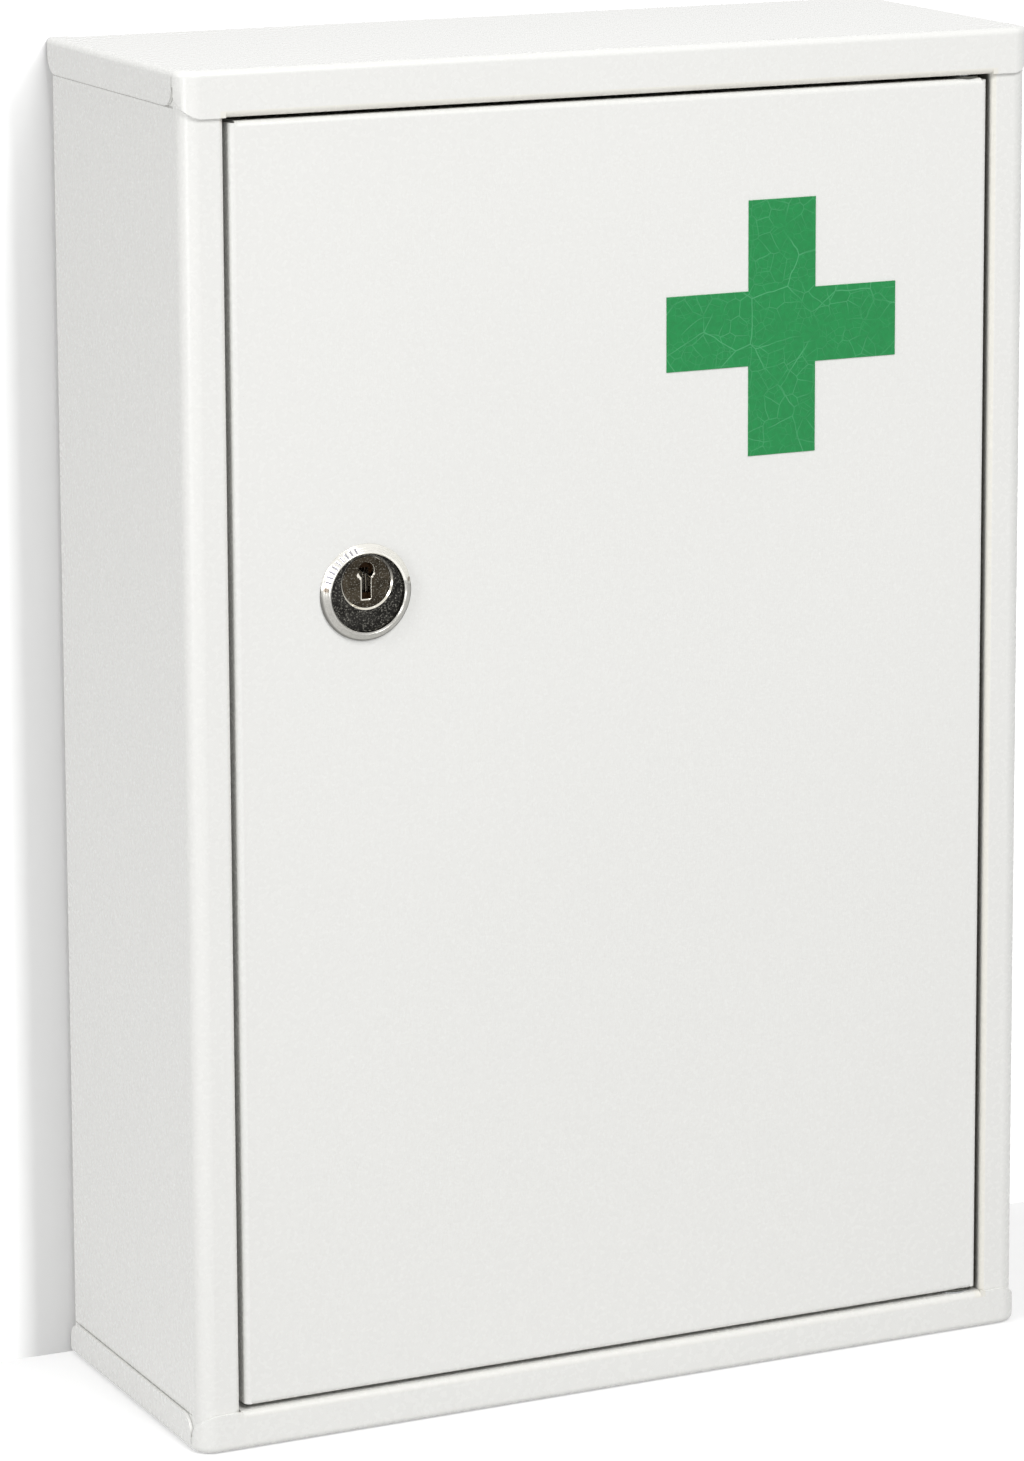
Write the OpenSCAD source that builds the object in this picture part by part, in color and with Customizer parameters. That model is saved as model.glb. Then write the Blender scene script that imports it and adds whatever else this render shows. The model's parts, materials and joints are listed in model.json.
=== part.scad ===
// Lockable wall-mounted medicine cabinet in folded, painted sheet steel.
// X runs across the cabinet, Y from the front to the wall and Z up.
// The origin is the middle of the footprint, on the surface that the cabinet stands on.

/* [Cabinet] */
// Overall width, across the lips of the two end caps
cabinet_w = 238; // [200:1:320]
// Overall height
cabinet_h = 350; // [320:1:450]
// Overall depth, from the wall to the front lips
cabinet_d = 90; // [75:1:140]

/* [Sheet metal] */
// Thickness of all painted sheet
sheet_t = 0.8; // [0.6:0.1:1]
// Inside radius of the small folds
fold_r = 0.8; // [0.5:0.1:1.2]
// Outside radius of the wrap's two front corners, seen from above
corner_r = 4.6; // [2.6:0.1:5]
// Paint and fitting gap where an end cap laps over the wrap
lap_gap = 0.1; // [0.05:0.05:0.2]

/* [End caps] */
// Outside radius of the fold between a cap's flat sheet and its lips
cap_edge_r = 1.8; // [1.4:0.1:2.4]
// Height of the top cap's front lip, which is the door frame's top rail
top_rail = 11.8; // [9:0.1:14]
// Height of the top cap's side lips
top_side_lip = 9.2; // [7:0.1:12]
// Height of the bottom pan's front lip, which is the door frame's sill
bottom_rail = 10; // [9:0.1:14]
// Height of the bottom pan's side lips
bottom_side_lip = 8.8; // [7:0.1:12]
// Radius of a front lip's free corners
front_lip_corner_r = 6; // [3:0.5:7]
// Radius of a side lip's free corners
side_lip_corner_r = 5; // [2:0.5:5]
// Width of the open seam between a front lip and a side lip
seam_w = 0.4; // [0.2:0.1:0.8]
// Depth of a rail, from its front face to the edge of its inward flange
rail_depth = 12.6; // [11:0.1:13]
// Height of the lip that tucks in against the back panel
rear_lip = 8; // [5:0.5:15]

/* [Door frame] */
// Width of each stile beside the door, with the cap lip's thickness
stile_w = 11.8; // [9:0.1:14]
// Depth of a stile's inward flange, from the stile's face
stile_depth = 13.6; // [13:0.1:16]
// Width of the stop lip behind the door's lock edge
stop_w = 8; // [6:0.5:10]

/* [Door] */
// Gap between the door and each stile
side_gap = 1.4; // [1.2:0.1:2]
// Gap between the door and the rails
rail_gap = 1; // [1:0.1:1.6]
// Depth of the door's flanges, from its face
door_depth = 11; // [9.5:0.1:11]
// Outside radius of the fold round the door's face
door_edge_r = 1.6; // [1.4:0.1:2]
// Width of the return lips on the door's upright flanges
door_return = 8; // [5:0.5:10]
// How far the door's upright folds stop short of its top and bottom
door_notch = 0.5; // [0.5:0.1:1.3]
// How far the door's return lips stop short of its top and bottom
return_notch = 4; // [2:0.5:10]

/* [Hinge] */
// Radius of the pins that the door turns on
pin_r = 2; // [1.5:0.1:2.2]
// Distance from the door's hinge edge to the pin's axis
pin_inset = 5; // [4.8:0.1:5.5]
// Distance from the door's face to the pin's axis
pin_setback = 4.5; // [4.3:0.1:4.7]
// Radius of a pin's head
pin_head_r = 3.6; // [3:0.1:4]
// Height of a pin's head
pin_head_h = 1.4; // [1:0.1:2]
// How far a pin reaches into the door
pin_reach = 6; // [4:0.5:12]
// Chamfer at a pin's tip and round its head
pin_chamfer = 0.5; // [0.2:0.1:0.8]
// Running clearance between a pin and its bush
pin_clear = 0.05; // [0.02:0.01:0.08]
// Radius of a bush's barrel
bush_r = 3; // [2.8:0.1:3.2]
// Radius of a bush's flange and of the thrust washer
bush_flange_r = 4; // [3.6:0.1:4.2]
// Thickness of a bush's flange
bush_flange_t = 0.5; // [0.3:0.1:0.5]
// Length of a bush's barrel
bush_h = 4; // [3:0.5:8]
// Thickness of the thrust washer under the door
thrust_t = 0.4; // [0.2:0.1:0.4]

/* [Lock] */
// Distance from the door's lock edge to the lock's middle
lock_inset = 34.8; // [32:0.1:38]
// Height of the lock's middle above the base
lock_z = 217.7; // [170:0.1:230]
// Radius of the bright collar round the lock
collar_r = 12.3; // [12.2:0.1:13]
// Height of the collar's crest above the door's face
collar_h = 2.4; // [2:0.1:3]
// Radius of the collar's crest
collar_crest_r = 10.5; // [10.4:0.1:11]
// Thickness of the collar's ring that is clamped to the door
collar_seat_t = 0.5; // [0.4:0.1:0.7]
// Height of the collar's upright rim
collar_rim_h = 0.5; // [0.3:0.1:0.8]
// Chamfer between the collar's rim and its sloping face
collar_chamfer = 0.3; // [0.1:0.1:0.5]
// Width of the collar's flat crest
collar_crest_w = 0.2; // [0.1:0.1:0.4]
// Height of the bevel inside the collar's crest
collar_bevel_h = 0.4; // [0.2:0.1:0.8]
// Clearance between the lock's face and the collar
collar_clear = 0.1; // [0.05:0.05:0.2]
// Radius of the lock's round face
lock_face_r = 9.8; // [9.8:0.1:10]
// Height of the lock's face above the door's face
lock_face_h = 1.3; // [1.2:0.1:1.5]
// Radius of the lock's threaded barrel
barrel_r = 9.4; // [9.2:0.1:9.5]
// Distance between the barrel's two flats
barrel_flats = 16; // [15:0.1:17]
// Length of the barrel behind the door's face
barrel_l = 13; // [12.5:0.1:13]
// Clearance between the barrel and the hole in the door
barrel_clear = 0.1; // [0.05:0.05:0.2]
// How far the plug's axis lies above the barrel's
plug_rise = 2.7; // [2:0.1:2.7]
// Radius of the plug's visible head
plug_head_r = 6.45; // [6.2:0.05:6.5]
// Thickness of the plug's head
plug_head_t = 1.4; // [1.2:0.1:2]
// Radius of the plug behind its head
plug_r = 5.9; // [5.8:0.05:5.95]
// Clearance between the plug and the barrel's bore
plug_clear = 0.1; // [0.05:0.01:0.12]
// Depth of the plug's face below the lock's face
plug_sunk = 0.5; // [0.2:0.1:0.8]
// Width of the bevel round the plug's bore
plug_bevel = 0.35; // [0.2:0.05:0.4]
// Radius of the keyhole's round part
keyhole_r = 2.1; // [1.6:0.1:2.2]
// Height of the keyhole's round part above the plug's axis
keyhole_rise = 2.9; // [2.5:0.1:3.2]
// Width of the keyhole's slot
keyhole_slot_w = 2.5; // [2:0.1:2.8]
// How far the keyhole's slot reaches below the plug's axis
keyhole_drop = 4.3; // [3.5:0.1:4.5]
// Depth of the keyhole
keyhole_depth = 10.5; // [10:0.1:11]
// Distance between the flats of the lock's fixing nut
nut_af = 22; // [21.5:0.1:24]
// Thickness of the fixing nut
nut_t = 3.5; // [2.5:0.1:5]
// Thickness of the toothed washer under the nut
tooth_washer_t = 0.7; // [0.5:0.1:1]
// Radius of the toothed washer
tooth_washer_r = 12; // [11.5:0.1:13]
// Number of teeth on the toothed washer
washer_teeth = 16; // [10:1:20]
// Side of the square cuts between the teeth
tooth_cut = 1.1; // [0.6:0.1:1.4]

/* [Tumblers] */
// Number of wafer tumblers in the plug
wafers = 5; // [3:1:5]
// Thickness of a wafer
wafer_t = 0.9; // [0.6:0.1:1]
// Distance from one wafer to the next
wafer_pitch = 1.8; // [1.5:0.1:1.8]
// Depth of the first wafer behind the door's face
wafer_start = 1.6; // [1.4:0.1:1.8]
// Width of a wafer
wafer_w = 4.6; // [4:0.1:4.8]
// Height of a wafer
wafer_h = 10.4; // [9.5:0.1:10.6]
// Width of the window that the key passes through
wafer_window_w = 3; // [2.6:0.1:3.2]
// Height of that window
wafer_window_h = 6.4; // [4:0.1:7]
// Clearance round a wafer in its slot
wafer_clear = 0.1; // [0.05:0.05:0.2]

/* [Cam] */
// Side of the square tenon that drives the cam
tenon = 6; // [5:0.1:6.5]
// Clearance of the cam and the stop washer on the tenon
tenon_clear = 0.1; // [0.05:0.05:0.2]
// Thickness of the stop washer
stop_washer_t = 0.7; // [0.5:0.1:0.7]
// Radius of the stop washer
stop_washer_r = 8; // [7.6:0.1:8.5]
// Turn of the key from open to locked, in degrees
key_turn = 90; // [90:1:90]
// Radius of the stop post on the back of the barrel
stop_post_r = 0.8; // [0.6:0.1:0.8]
// Distance from the plug's axis to the stop post
stop_post_at = 7; // [6.9:0.1:7.1]
// Angular play at each end of the key's turn, in degrees
stop_play = 3; // [2:0.5:4]
// Clearance between the stop post and the ends of its gap
post_clear = 0.1; // [0.05:0.05:0.2]
// Clearance between the stop post and the inner edge of its gap
post_gap = 0.4; // [0.2:0.1:0.6]
// Thickness of the cam
cam_t = 2; // [1.5:0.1:2.4]
// Length of the cam from its axis to its tip
cam_l = 34.5; // [33:0.5:37]
// Radius of the cam's hub
cam_hub_r = 8; // [7:0.1:9]
// Width of the cam's arm
cam_w = 12; // [8:0.5:13]
// Corner radius of the cam's tip
cam_tip_r = 2; // [1:0.5:4]
// Clearance from the barrel to the stop washer, and on to the cam
cam_gap = 0.15; // [0.1:0.05:0.2]
// Radius of the cam screw's thread
screw_r = 2; // [1.5:0.1:2.2]
// Length of the cam screw under its head
screw_l = 6; // [4:0.5:6]
// Radius of the cam screw's head
screw_head_r = 4.2; // [3.8:0.1:5]
// Height of the cam screw's head
screw_head_h = 2.2; // [1.8:0.1:2.6]
// Width of the cross recess in the screw's head
screw_cross_w = 1; // [0.8:0.1:1.2]
// Length of the cross recess from tip to tip
screw_cross_l = 5.5; // [4:0.1:6]
// Clearance between the screw's thread and its hole
screw_clear = 0.05; // [0.02:0.01:0.1]
// How much deeper the screw's hole is than the screw
screw_spare = 0.5; // [0.2:0.1:1]
// Radius of the spring washer under the screw's head
spring_washer_r = 4.6; // [4.4:0.1:5]
// Thickness of the spring washer
spring_washer_t = 0.9; // [0.6:0.1:1.2]
// Clearance between the spring washer and the screw
spring_washer_clear = 0.2; // [0.1:0.1:0.4]
// Width of the split in the spring washer
spring_washer_split = 0.6; // [0.3:0.1:1]

/* [Shelves] */
// Heights of the two shelves above the base
shelf_heights = [117, 233];
// Gap between a shelf's ends and the wrap
shelf_side_gap = 0.6; // [0.4:0.1:1]
// Gap between a shelf and the back panel
shelf_rear_gap = 1; // [0.5:0.1:3]
// Distance from the door's face to a shelf's front
shelf_setback = 22; // [21:0.5:30]
// Height of a shelf's upturned front lip
shelf_front_lip = 9; // [5:0.5:15]
// Height of a shelf's upturned rear lip
shelf_rear_lip = 6; // [4:0.5:12]
// Height of a shelf's downturned end flanges
shelf_end_flange = 10; // [9:0.5:14]
// How far a shelf's end flanges stop short of its front and rear
shelf_notch = 2; // [1.8:0.1:4]
// Radius of the studs that carry the shelves
stud_r = 2.5; // [2:0.1:3]
// Length of a stud
stud_l = 7; // [5:0.5:10]
// Chamfer at a stud's tip
stud_chamfer = 0.5; // [0.2:0.1:0.8]
// Radius of a stud's weld flange
stud_flange_r = 3.4; // [3.2:0.1:4]
// Thickness of a stud's weld flange
stud_flange_t = 0.4; // [0.3:0.05:0.4]
// Distance from a stud's axis up to the top of its shelf
stud_drop = 5.6; // [5.2:0.1:6.5]
// Distance of the studs from a shelf's front and rear edges
stud_inset = 12; // [8:0.5:18]
// Clearance between a stud and its notch in the shelf
stud_clear = 0.3; // [0.2:0.05:0.4]

/* [Wall fixing] */
// Radius of the four wall screw holes
wall_hole_r = 3; // [2:0.1:4]
// Distance between the holes across the cabinet
wall_hole_x = 160; // [100:1:180]
// Distance between the holes up the cabinet
wall_hole_z = 290; // [280:1:296]

/* [Small parts] */
// Radius of the two rubber door buffers
buffer_r = 3.2; // [2.5:0.1:3.5]
// Gap left between a buffer and the closed door
buffer_gap = 0.3; // [0.2:0.05:0.4]
// How much narrower a buffer is at its tip
buffer_taper = 0.6; // [0.2:0.1:1]
// Shift of the buffers from the stop lip's middle towards its free edge
buffer_shift = 0.3; // [0:0.1:0.5]
// Distance of the buffers from the door's top and bottom
buffer_inset = 30; // [15:1:60]
// Length of the first-aid cross's arms, from tip to tip
cross_size = 66; // [40:1:80]
// Width of the cross's arms
cross_arm = 19.3; // [12:0.1:24]
// Distance from the door's hinge edge to the cross's middle
cross_inset = 60; // [45:0.1:90]
// Distance from the door's top to the cross's middle
cross_from_top = 60.8; // [45:0.1:90]
// Thickness of the cross, which is a cut vinyl sheet
cross_t = 0.2; // [0.1:0.05:0.3]

/* [Hidden] */
$fn = 64;

// A cut runs past the surface that it opens by this much.
past = 1;

// Planes of the cabinet, from the front to the wall. The collar's crest is the foremost point.
collar_proud = collar_h - sheet_t - lap_gap;
back_y = (cabinet_d + collar_proud) / 2;
front_y = back_y - cabinet_d;
face_y = front_y + sheet_t + lap_gap;

// The wrap, whose ends stand clear of the end caps' folds, and the opening in its front
small_fold = fold_r + sheet_t;
wrap_hw = cabinet_w / 2 - sheet_t - lap_gap;
wrap_z0 = cap_edge_r + lap_gap;
wrap_h = cabinet_h - 2 * wrap_z0;
wrap_inner_hw = wrap_hw - sheet_t;
opening_hw = cabinet_w / 2 - stile_w;

// The end caps
cap_r = corner_r + lap_gap + sheet_t;
cap_hw = cabinet_w / 2;
corner_y = front_y + cap_r;
rail_end_gap = 0.2;
rail_hw = opening_hw - rail_end_gap;
rear_lip_y = back_y - sheet_t - lap_gap;

// The door
door_hw = opening_hw - side_gap;
door_z0 = bottom_rail + rail_gap;
door_z1 = cabinet_h - top_rail - rail_gap;
pin_x = door_hw - pin_inset;
pin_y = face_y + pin_setback;

// The lock, whose middle is lock_x, lock_z on the door's face
lock_x = lock_inset - door_hw;
plug_face = lock_face_h - plug_sunk;
cam_front = barrel_l + cam_gap + stop_washer_t + cam_gap;
cam_back = cam_front + cam_t;
screw_seat = cam_back + spring_washer_t;
screw_hole_l = screw_l - spring_washer_t + screw_spare;

// The shelves
shelf_hw = wrap_inner_hw - shelf_side_gap;
shelf_y0 = face_y + shelf_setback;
shelf_y1 = back_y - sheet_t - shelf_rear_gap;
stud_ys = [shelf_y0 + stud_inset, shelf_y1 - stud_inset];

// ---------------------------------------------------------------- folded sheet

// Section of one right-angle fold, centred on its bend axis, turned to the quarter sx, sy.
module fold(inner_r, sx = 1, sy = 1) {
    outer_r = inner_r + sheet_t;
    flip = [sx < 0 ? 1 : 0, sy < 0 ? 1 : 0];
    mirror([flip[0], 0]) mirror([0, flip[1]]) intersection() {
        difference() {
            circle(r = outer_r);
            circle(r = inner_r);
        }
        square(outer_r);
    }
}

// Section of a flat strip between two opposite corners.
module strip(low, high) {
    translate(low) square(high - low);
}

// Carries a section along X. Its first axis becomes -Y and its second Z.
module along_x(x0, x1) {
    translate([x1, 0, 0]) rotate([90, 0, -90]) linear_extrude(height = x1 - x0) children();
}

// Carries a section along Y. Its first axis becomes X and its second Z.
module along_y(y0, y1) {
    translate([0, y1, 0]) rotate([90, 0, 0]) linear_extrude(height = y1 - y0) children();
}

// The children as they are, and mirrored to the other side of the cabinet.
module both_sides() {
    children();
    mirror([1, 0, 0]) children();
}

// ---------------------------------------------------------------- body

// Half of the wrap's section: back, side, rounded corner, stile and inward flange.
module wrap_half_section() {
    strip([0, back_y - sheet_t], [wrap_hw - small_fold, back_y]);
    translate([wrap_hw - small_fold, back_y - small_fold]) fold(fold_r);
    strip([wrap_hw - sheet_t, face_y + corner_r], [wrap_hw, back_y - small_fold]);
    translate([wrap_hw - corner_r, face_y + corner_r]) fold(corner_r - sheet_t, 1, -1);
    strip([opening_hw + small_fold, face_y], [wrap_hw - corner_r, face_y + sheet_t]);
    translate([opening_hw + small_fold, face_y + small_fold]) fold(fold_r, -1, -1);
    strip([opening_hw, face_y + small_fold], [opening_hw + sheet_t, face_y + stile_depth - small_fold]);
}

// The end of the hinge side's flange is plain.
module plain_flange_end() {
    strip([opening_hw, face_y + stile_depth - small_fold], [opening_hw + sheet_t, face_y + stile_depth]);
}

// The end of the lock side's flange turns in behind the door, as its stop.
module stop_lip() {
    translate([opening_hw - fold_r, face_y + stile_depth - small_fold]) fold(fold_r);
    strip([opening_hw - stop_w, face_y + stile_depth - sheet_t], [opening_hw - fold_r, face_y + stile_depth]);
}

module wall_holes() {
    for (sx = [-1, 1], sz = [-1, 1])
        translate([sx * wall_hole_x / 2, back_y + past, cabinet_h / 2 + sz * wall_hole_z / 2])
            rotate([90, 0, 0]) cylinder(r = wall_hole_r, h = sheet_t + 2 * past);
}

// One sheet makes the back, both sides and both stiles.
module body_wrap() {
    color("whitesmoke") difference() {
        translate([0, 0, wrap_z0]) linear_extrude(height = wrap_h) {
            wrap_half_section();
            plain_flange_end();
            mirror([1, 0]) {
                wrap_half_section();
                stop_lip();
            }
        }
        wall_holes();
    }
}

// ---------------------------------------------------------------- end caps

// Section of a cap's edge, out from the centre of its plan corner: flat sheet, fold and lip.
module cap_edge_section(lip) {
    strip([0, -sheet_t], [cap_r - cap_edge_r, 0]);
    translate([cap_r - cap_edge_r, -cap_edge_r]) fold(cap_edge_r - sheet_t);
    strip([cap_r - sheet_t, -lip], [cap_r, -cap_edge_r]);
}

// Section of a rail: the front lip, with its inward flange.
module rail_section(lip) {
    cap_edge_section(lip - small_fold);
    translate([cap_r - small_fold, small_fold - lip]) fold(fold_r, 1, -1);
    strip([cap_r - rail_depth, -lip], [cap_r - small_fold, sheet_t - lip]);
}

// What is cut away outside an arc of radius r at a free corner. The corner is at the origin.
module corner_waste(r) {
    difference() {
        translate([-past, -past]) square(r + past);
        translate([r, r]) circle(r = r);
    }
}

// Edges of one cap, with its outer face at z = 0 and its lips pointing down.
module cap_edges(front_lip, side_lip) {
    translate([0, corner_y, 0]) {
        along_x(-rail_hw, rail_hw) rail_section(front_lip);
        both_sides() along_x(rail_hw, cap_hw - cap_r) cap_edge_section(front_lip);
    }
    both_sides() {
        translate([cap_hw - cap_r, corner_y, 0]) rotate([0, 0, -90])
            rotate_extrude(angle = 90) cap_edge_section(front_lip);
        translate([cap_hw - cap_r, 0, 0]) along_y(corner_y, back_y) cap_edge_section(side_lip);
    }
}

// The flat sheet, and the lip that tucks in against the back panel.
module cap_sheet() {
    inner_hw = cap_hw - cap_r;
    rear_hw = wrap_inner_hw - small_fold;
    translate([-inner_hw, corner_y, -sheet_t])
        cube([2 * inner_hw, rear_lip_y - small_fold - corner_y, sheet_t]);
    mirror([0, 1, 0]) translate([0, -rear_lip_y, 0]) along_x(-inner_hw, inner_hw)
        translate([-small_fold, -small_fold]) fold(fold_r);
    translate([-rear_hw, rear_lip_y - sheet_t, -rear_lip])
        cube([2 * rear_hw, sheet_t, rear_lip - small_fold]);
}

// Free corners and the open seam at the cap's right-hand side.
module cap_cuts(front_lip, side_lip) {
    lip_x = cap_hw - sheet_t - past;
    translate([cap_hw, 0, -front_lip]) mirror([1, 0, 0])
        along_y(front_y - past, corner_y + seam_w / 2) corner_waste(front_lip_corner_r);
    translate([lip_x, corner_y - seam_w / 2, -front_lip - past])
        cube([sheet_t + 2 * past, seam_w, front_lip + past - cap_edge_r]);
    translate([0, corner_y + seam_w / 2, -side_lip]) mirror([0, 1, 0])
        along_x(lip_x, cap_hw + past) corner_waste(side_lip_corner_r);
    translate([0, back_y, -side_lip])
        along_x(lip_x, cap_hw + past) corner_waste(side_lip_corner_r);
}

// A cap's sheet, lips and rail, with the pin's hole in the rail's flange.
module end_cap(front_lip, side_lip) {
    difference() {
        union() {
            cap_edges(front_lip, side_lip);
            cap_sheet();
        }
        both_sides() cap_cuts(front_lip, side_lip);
        translate([pin_x, pin_y, -front_lip - past])
            cylinder(r = pin_r + pin_clear, h = sheet_t + 2 * past);
    }
}

module top_cap() {
    color("whitesmoke") translate([0, 0, cabinet_h]) end_cap(top_rail, top_side_lip);
}

module bottom_pan() {
    color("whitesmoke") mirror([0, 0, 1]) end_cap(bottom_rail, bottom_side_lip);
}

// ---------------------------------------------------------------- hinge

// A headed pin, pointing up from the underside of its rail's flange at z = 0.
module hinge_pin() {
    tip = sheet_t + rail_gap + pin_reach;
    rotate_extrude() polygon([
        [0, -pin_head_h], [pin_head_r - pin_chamfer, -pin_head_h],
        [pin_head_r, pin_chamfer - pin_head_h], [pin_head_r, 0], [pin_r, 0],
        [pin_r, tip - pin_chamfer], [pin_r - pin_chamfer, tip], [0, tip]
    ]);
}

// A flanged nylon bush, whose flange lies on the door's edge at z = 0 and whose barrel points up.
module hinge_bush() {
    difference() {
        union() {
            translate([0, 0, -bush_flange_t]) cylinder(r = bush_flange_r, h = bush_flange_t);
            translate([0, 0, -bush_flange_t]) cylinder(r = bush_r, h = bush_flange_t + bush_h);
        }
        translate([0, 0, -bush_flange_t - past])
            cylinder(r = pin_r + pin_clear, h = bush_h + bush_flange_t + 2 * past);
    }
}

// Places a part that points up at the pin's axis, at a height.
module at_pin(z) {
    translate([pin_x, pin_y, z]) children();
}

module upper_hinge_pin() {
    color("silver") at_pin(cabinet_h - top_rail + sheet_t) mirror([0, 0, 1]) hinge_pin();
}

module lower_hinge_pin() {
    color("silver") at_pin(bottom_rail - sheet_t) hinge_pin();
}

module upper_hinge_bush() {
    color("white") at_pin(door_z1) mirror([0, 0, 1]) hinge_bush();
}

module lower_hinge_bush() {
    color("white") at_pin(door_z0) hinge_bush();
}

// The door's weight bears on this ring, between the sill and the lower bush.
module thrust_washer() {
    color("silver") at_pin(bottom_rail) difference() {
        cylinder(r = bush_flange_r, h = thrust_t);
        translate([0, 0, -past]) cylinder(r = pin_r + pin_clear, h = thrust_t + 2 * past);
    }
}

// ---------------------------------------------------------------- door

// Section of the door's upright edge: fold and flange.
module door_side_section(flange_end) {
    translate([door_hw - door_edge_r, face_y + door_edge_r]) fold(door_edge_r - sheet_t, 1, -1);
    strip([door_hw - sheet_t, face_y + door_edge_r], [door_hw, face_y + flange_end]);
}

// Section of the return lip at the back of an upright flange.
module door_return_section() {
    translate([door_hw - small_fold, face_y + door_depth - small_fold]) fold(fold_r);
    strip([door_hw - door_return, face_y + door_depth - sheet_t], [door_hw - small_fold, face_y + door_depth]);
}

// Section of the door's top edge. The first axis runs to the front, and the corner is at the origin.
module door_rail_section() {
    translate([-door_edge_r, -door_edge_r]) fold(door_edge_r - sheet_t);
    strip([-door_depth, -sheet_t], [-door_edge_r, 0]);
}

module door_uprights() {
    both_sides() {
        translate([0, 0, door_z0 + door_notch])
            linear_extrude(height = door_z1 - door_z0 - 2 * door_notch)
                door_side_section(door_depth - small_fold);
        translate([0, 0, door_z0 + return_notch])
            linear_extrude(height = door_z1 - door_z0 - 2 * return_notch) door_return_section();
    }
}

module door_rails() {
    edge_hw = door_hw - door_edge_r;
    translate([0, face_y, door_z1]) along_x(-edge_hw, edge_hw) door_rail_section();
    translate([0, face_y, door_z0]) mirror([0, 0, 1]) along_x(-edge_hw, edge_hw) door_rail_section();
}

module door_face() {
    edge_hw = door_hw - door_edge_r;
    translate([-edge_hw, face_y, door_z0 + door_edge_r])
        cube([2 * edge_hw, sheet_t, door_z1 - door_z0 - 2 * door_edge_r]);
}

// The barrel's outline, a circle with two flats that keep the lock from turning.
module barrel_outline(r, flats) {
    intersection() {
        circle(r = r);
        square([flats, 2 * r + past], center = true);
    }
}

module door_panel() {
    color("whitesmoke") difference() {
        union() {
            door_face();
            door_uprights();
            door_rails();
        }
        at_lock(-sheet_t - past) linear_extrude(height = sheet_t + 2 * past)
            barrel_outline(barrel_r + barrel_clear, barrel_flats + 2 * barrel_clear);
        for (z = [door_z0, door_z1]) at_pin(z - sheet_t - past)
            cylinder(r = bush_r + pin_clear, h = 2 * (sheet_t + past));
    }
}

// A cut vinyl cross on the door's face, in the plain green of first-aid signs.
module first_aid_cross() {
    color("seagreen") translate([door_hw - cross_inset, face_y, door_z1 - cross_from_top])
        rotate([90, 0, 0]) linear_extrude(height = cross_t) {
            square([cross_size, cross_arm], center = true);
            square([cross_arm, cross_size], center = true);
        }
}

// Two rubber buffers on the stop lip, which the closing door meets.
module door_buffers() {
    buffer_t = stile_depth - sheet_t - door_depth - buffer_gap;
    color("gainsboro") for (z = [door_z0 + buffer_inset, door_z1 - buffer_inset])
        translate([stop_w / 2 + buffer_shift - opening_hw, face_y + stile_depth - sheet_t, z])
            rotate([90, 0, 0]) cylinder(r1 = buffer_r, r2 = buffer_r - buffer_taper, h = buffer_t);
}

// ---------------------------------------------------------------- lock

// Places a part on the lock's axis, pointing out of the door. z is the height above the door's face.
module at_lock(z = 0) {
    translate([lock_x, face_y, lock_z]) rotate([90, 0, 0]) translate([0, 0, z]) children();
}

// The same, on the plug's higher axis.
module at_plug(z = 0) {
    at_lock(z) translate([0, plug_rise, 0]) children();
}

// A bright turned ring, held to the door by the lock's face.
module lock_collar() {
    bore_r = lock_face_r + collar_clear;
    color("silver") at_lock() rotate_extrude() polygon([
        [barrel_r + barrel_clear, 0], [collar_r, 0], [collar_r, collar_rim_h],
        [collar_r - collar_chamfer, collar_rim_h + collar_chamfer], [collar_crest_r, collar_h],
        [collar_crest_r - collar_crest_w, collar_h], [bore_r, collar_h - collar_bevel_h],
        [bore_r, collar_seat_t], [barrel_r + barrel_clear, collar_seat_t]
    ]);
}

// The lock's face and barrel, bored off centre for the plug, with the stop post on its back.
module lock_housing() {
    color("dimgray") difference() {
        union() {
            at_lock(collar_seat_t) cylinder(r = lock_face_r, h = lock_face_h - collar_seat_t);
            at_lock(-barrel_l) linear_extrude(height = barrel_l + collar_seat_t)
                barrel_outline(barrel_r, barrel_flats);
            at_plug(-barrel_l - stop_washer_t) translate([0, -stop_post_at, 0])
                cylinder(r = stop_post_r, h = stop_washer_t + past);
        }
        at_plug(-barrel_l - past)
            cylinder(r = plug_r + plug_clear, h = barrel_l + lock_face_h + 2 * past);
        at_plug(plug_face - plug_head_t - plug_clear)
            cylinder(r = plug_head_r + plug_clear, h = plug_head_t + plug_sunk + past);
        at_plug(lock_face_h - plug_bevel) cylinder(
            r1 = plug_head_r + plug_clear, r2 = plug_head_r + plug_clear + 2 * plug_bevel,
            h = 2 * plug_bevel
        );
    }
}

// A thin washer whose teeth bite the back of the door.
module tooth_washer() {
    color("silver") at_lock(-sheet_t - tooth_washer_t) linear_extrude(height = tooth_washer_t)
        difference() {
            circle(r = tooth_washer_r);
            circle(r = barrel_r + barrel_clear);
            for (i = [0 : washer_teeth - 1]) rotate(i * 360 / washer_teeth)
                translate([tooth_washer_r, 0]) rotate(45) square(tooth_cut, center = true);
        }
}

module lock_nut() {
    corner = nut_af / cos(30);
    color("silver") at_lock(-sheet_t - tooth_washer_t - nut_t) linear_extrude(height = nut_t)
        difference() {
            circle(d = corner, $fn = 6);
            circle(r = barrel_r + barrel_clear);
        }
}

module keyhole() {
    translate([0, keyhole_rise]) circle(r = keyhole_r);
    translate([-keyhole_slot_w / 2, -keyhole_drop])
        square([keyhole_slot_w, keyhole_drop + keyhole_rise]);
}

// Depth of the middle of wafer i behind the door's face.
function wafer_depth(i) = wafer_start + wafer_t / 2 + i * wafer_pitch;

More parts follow.
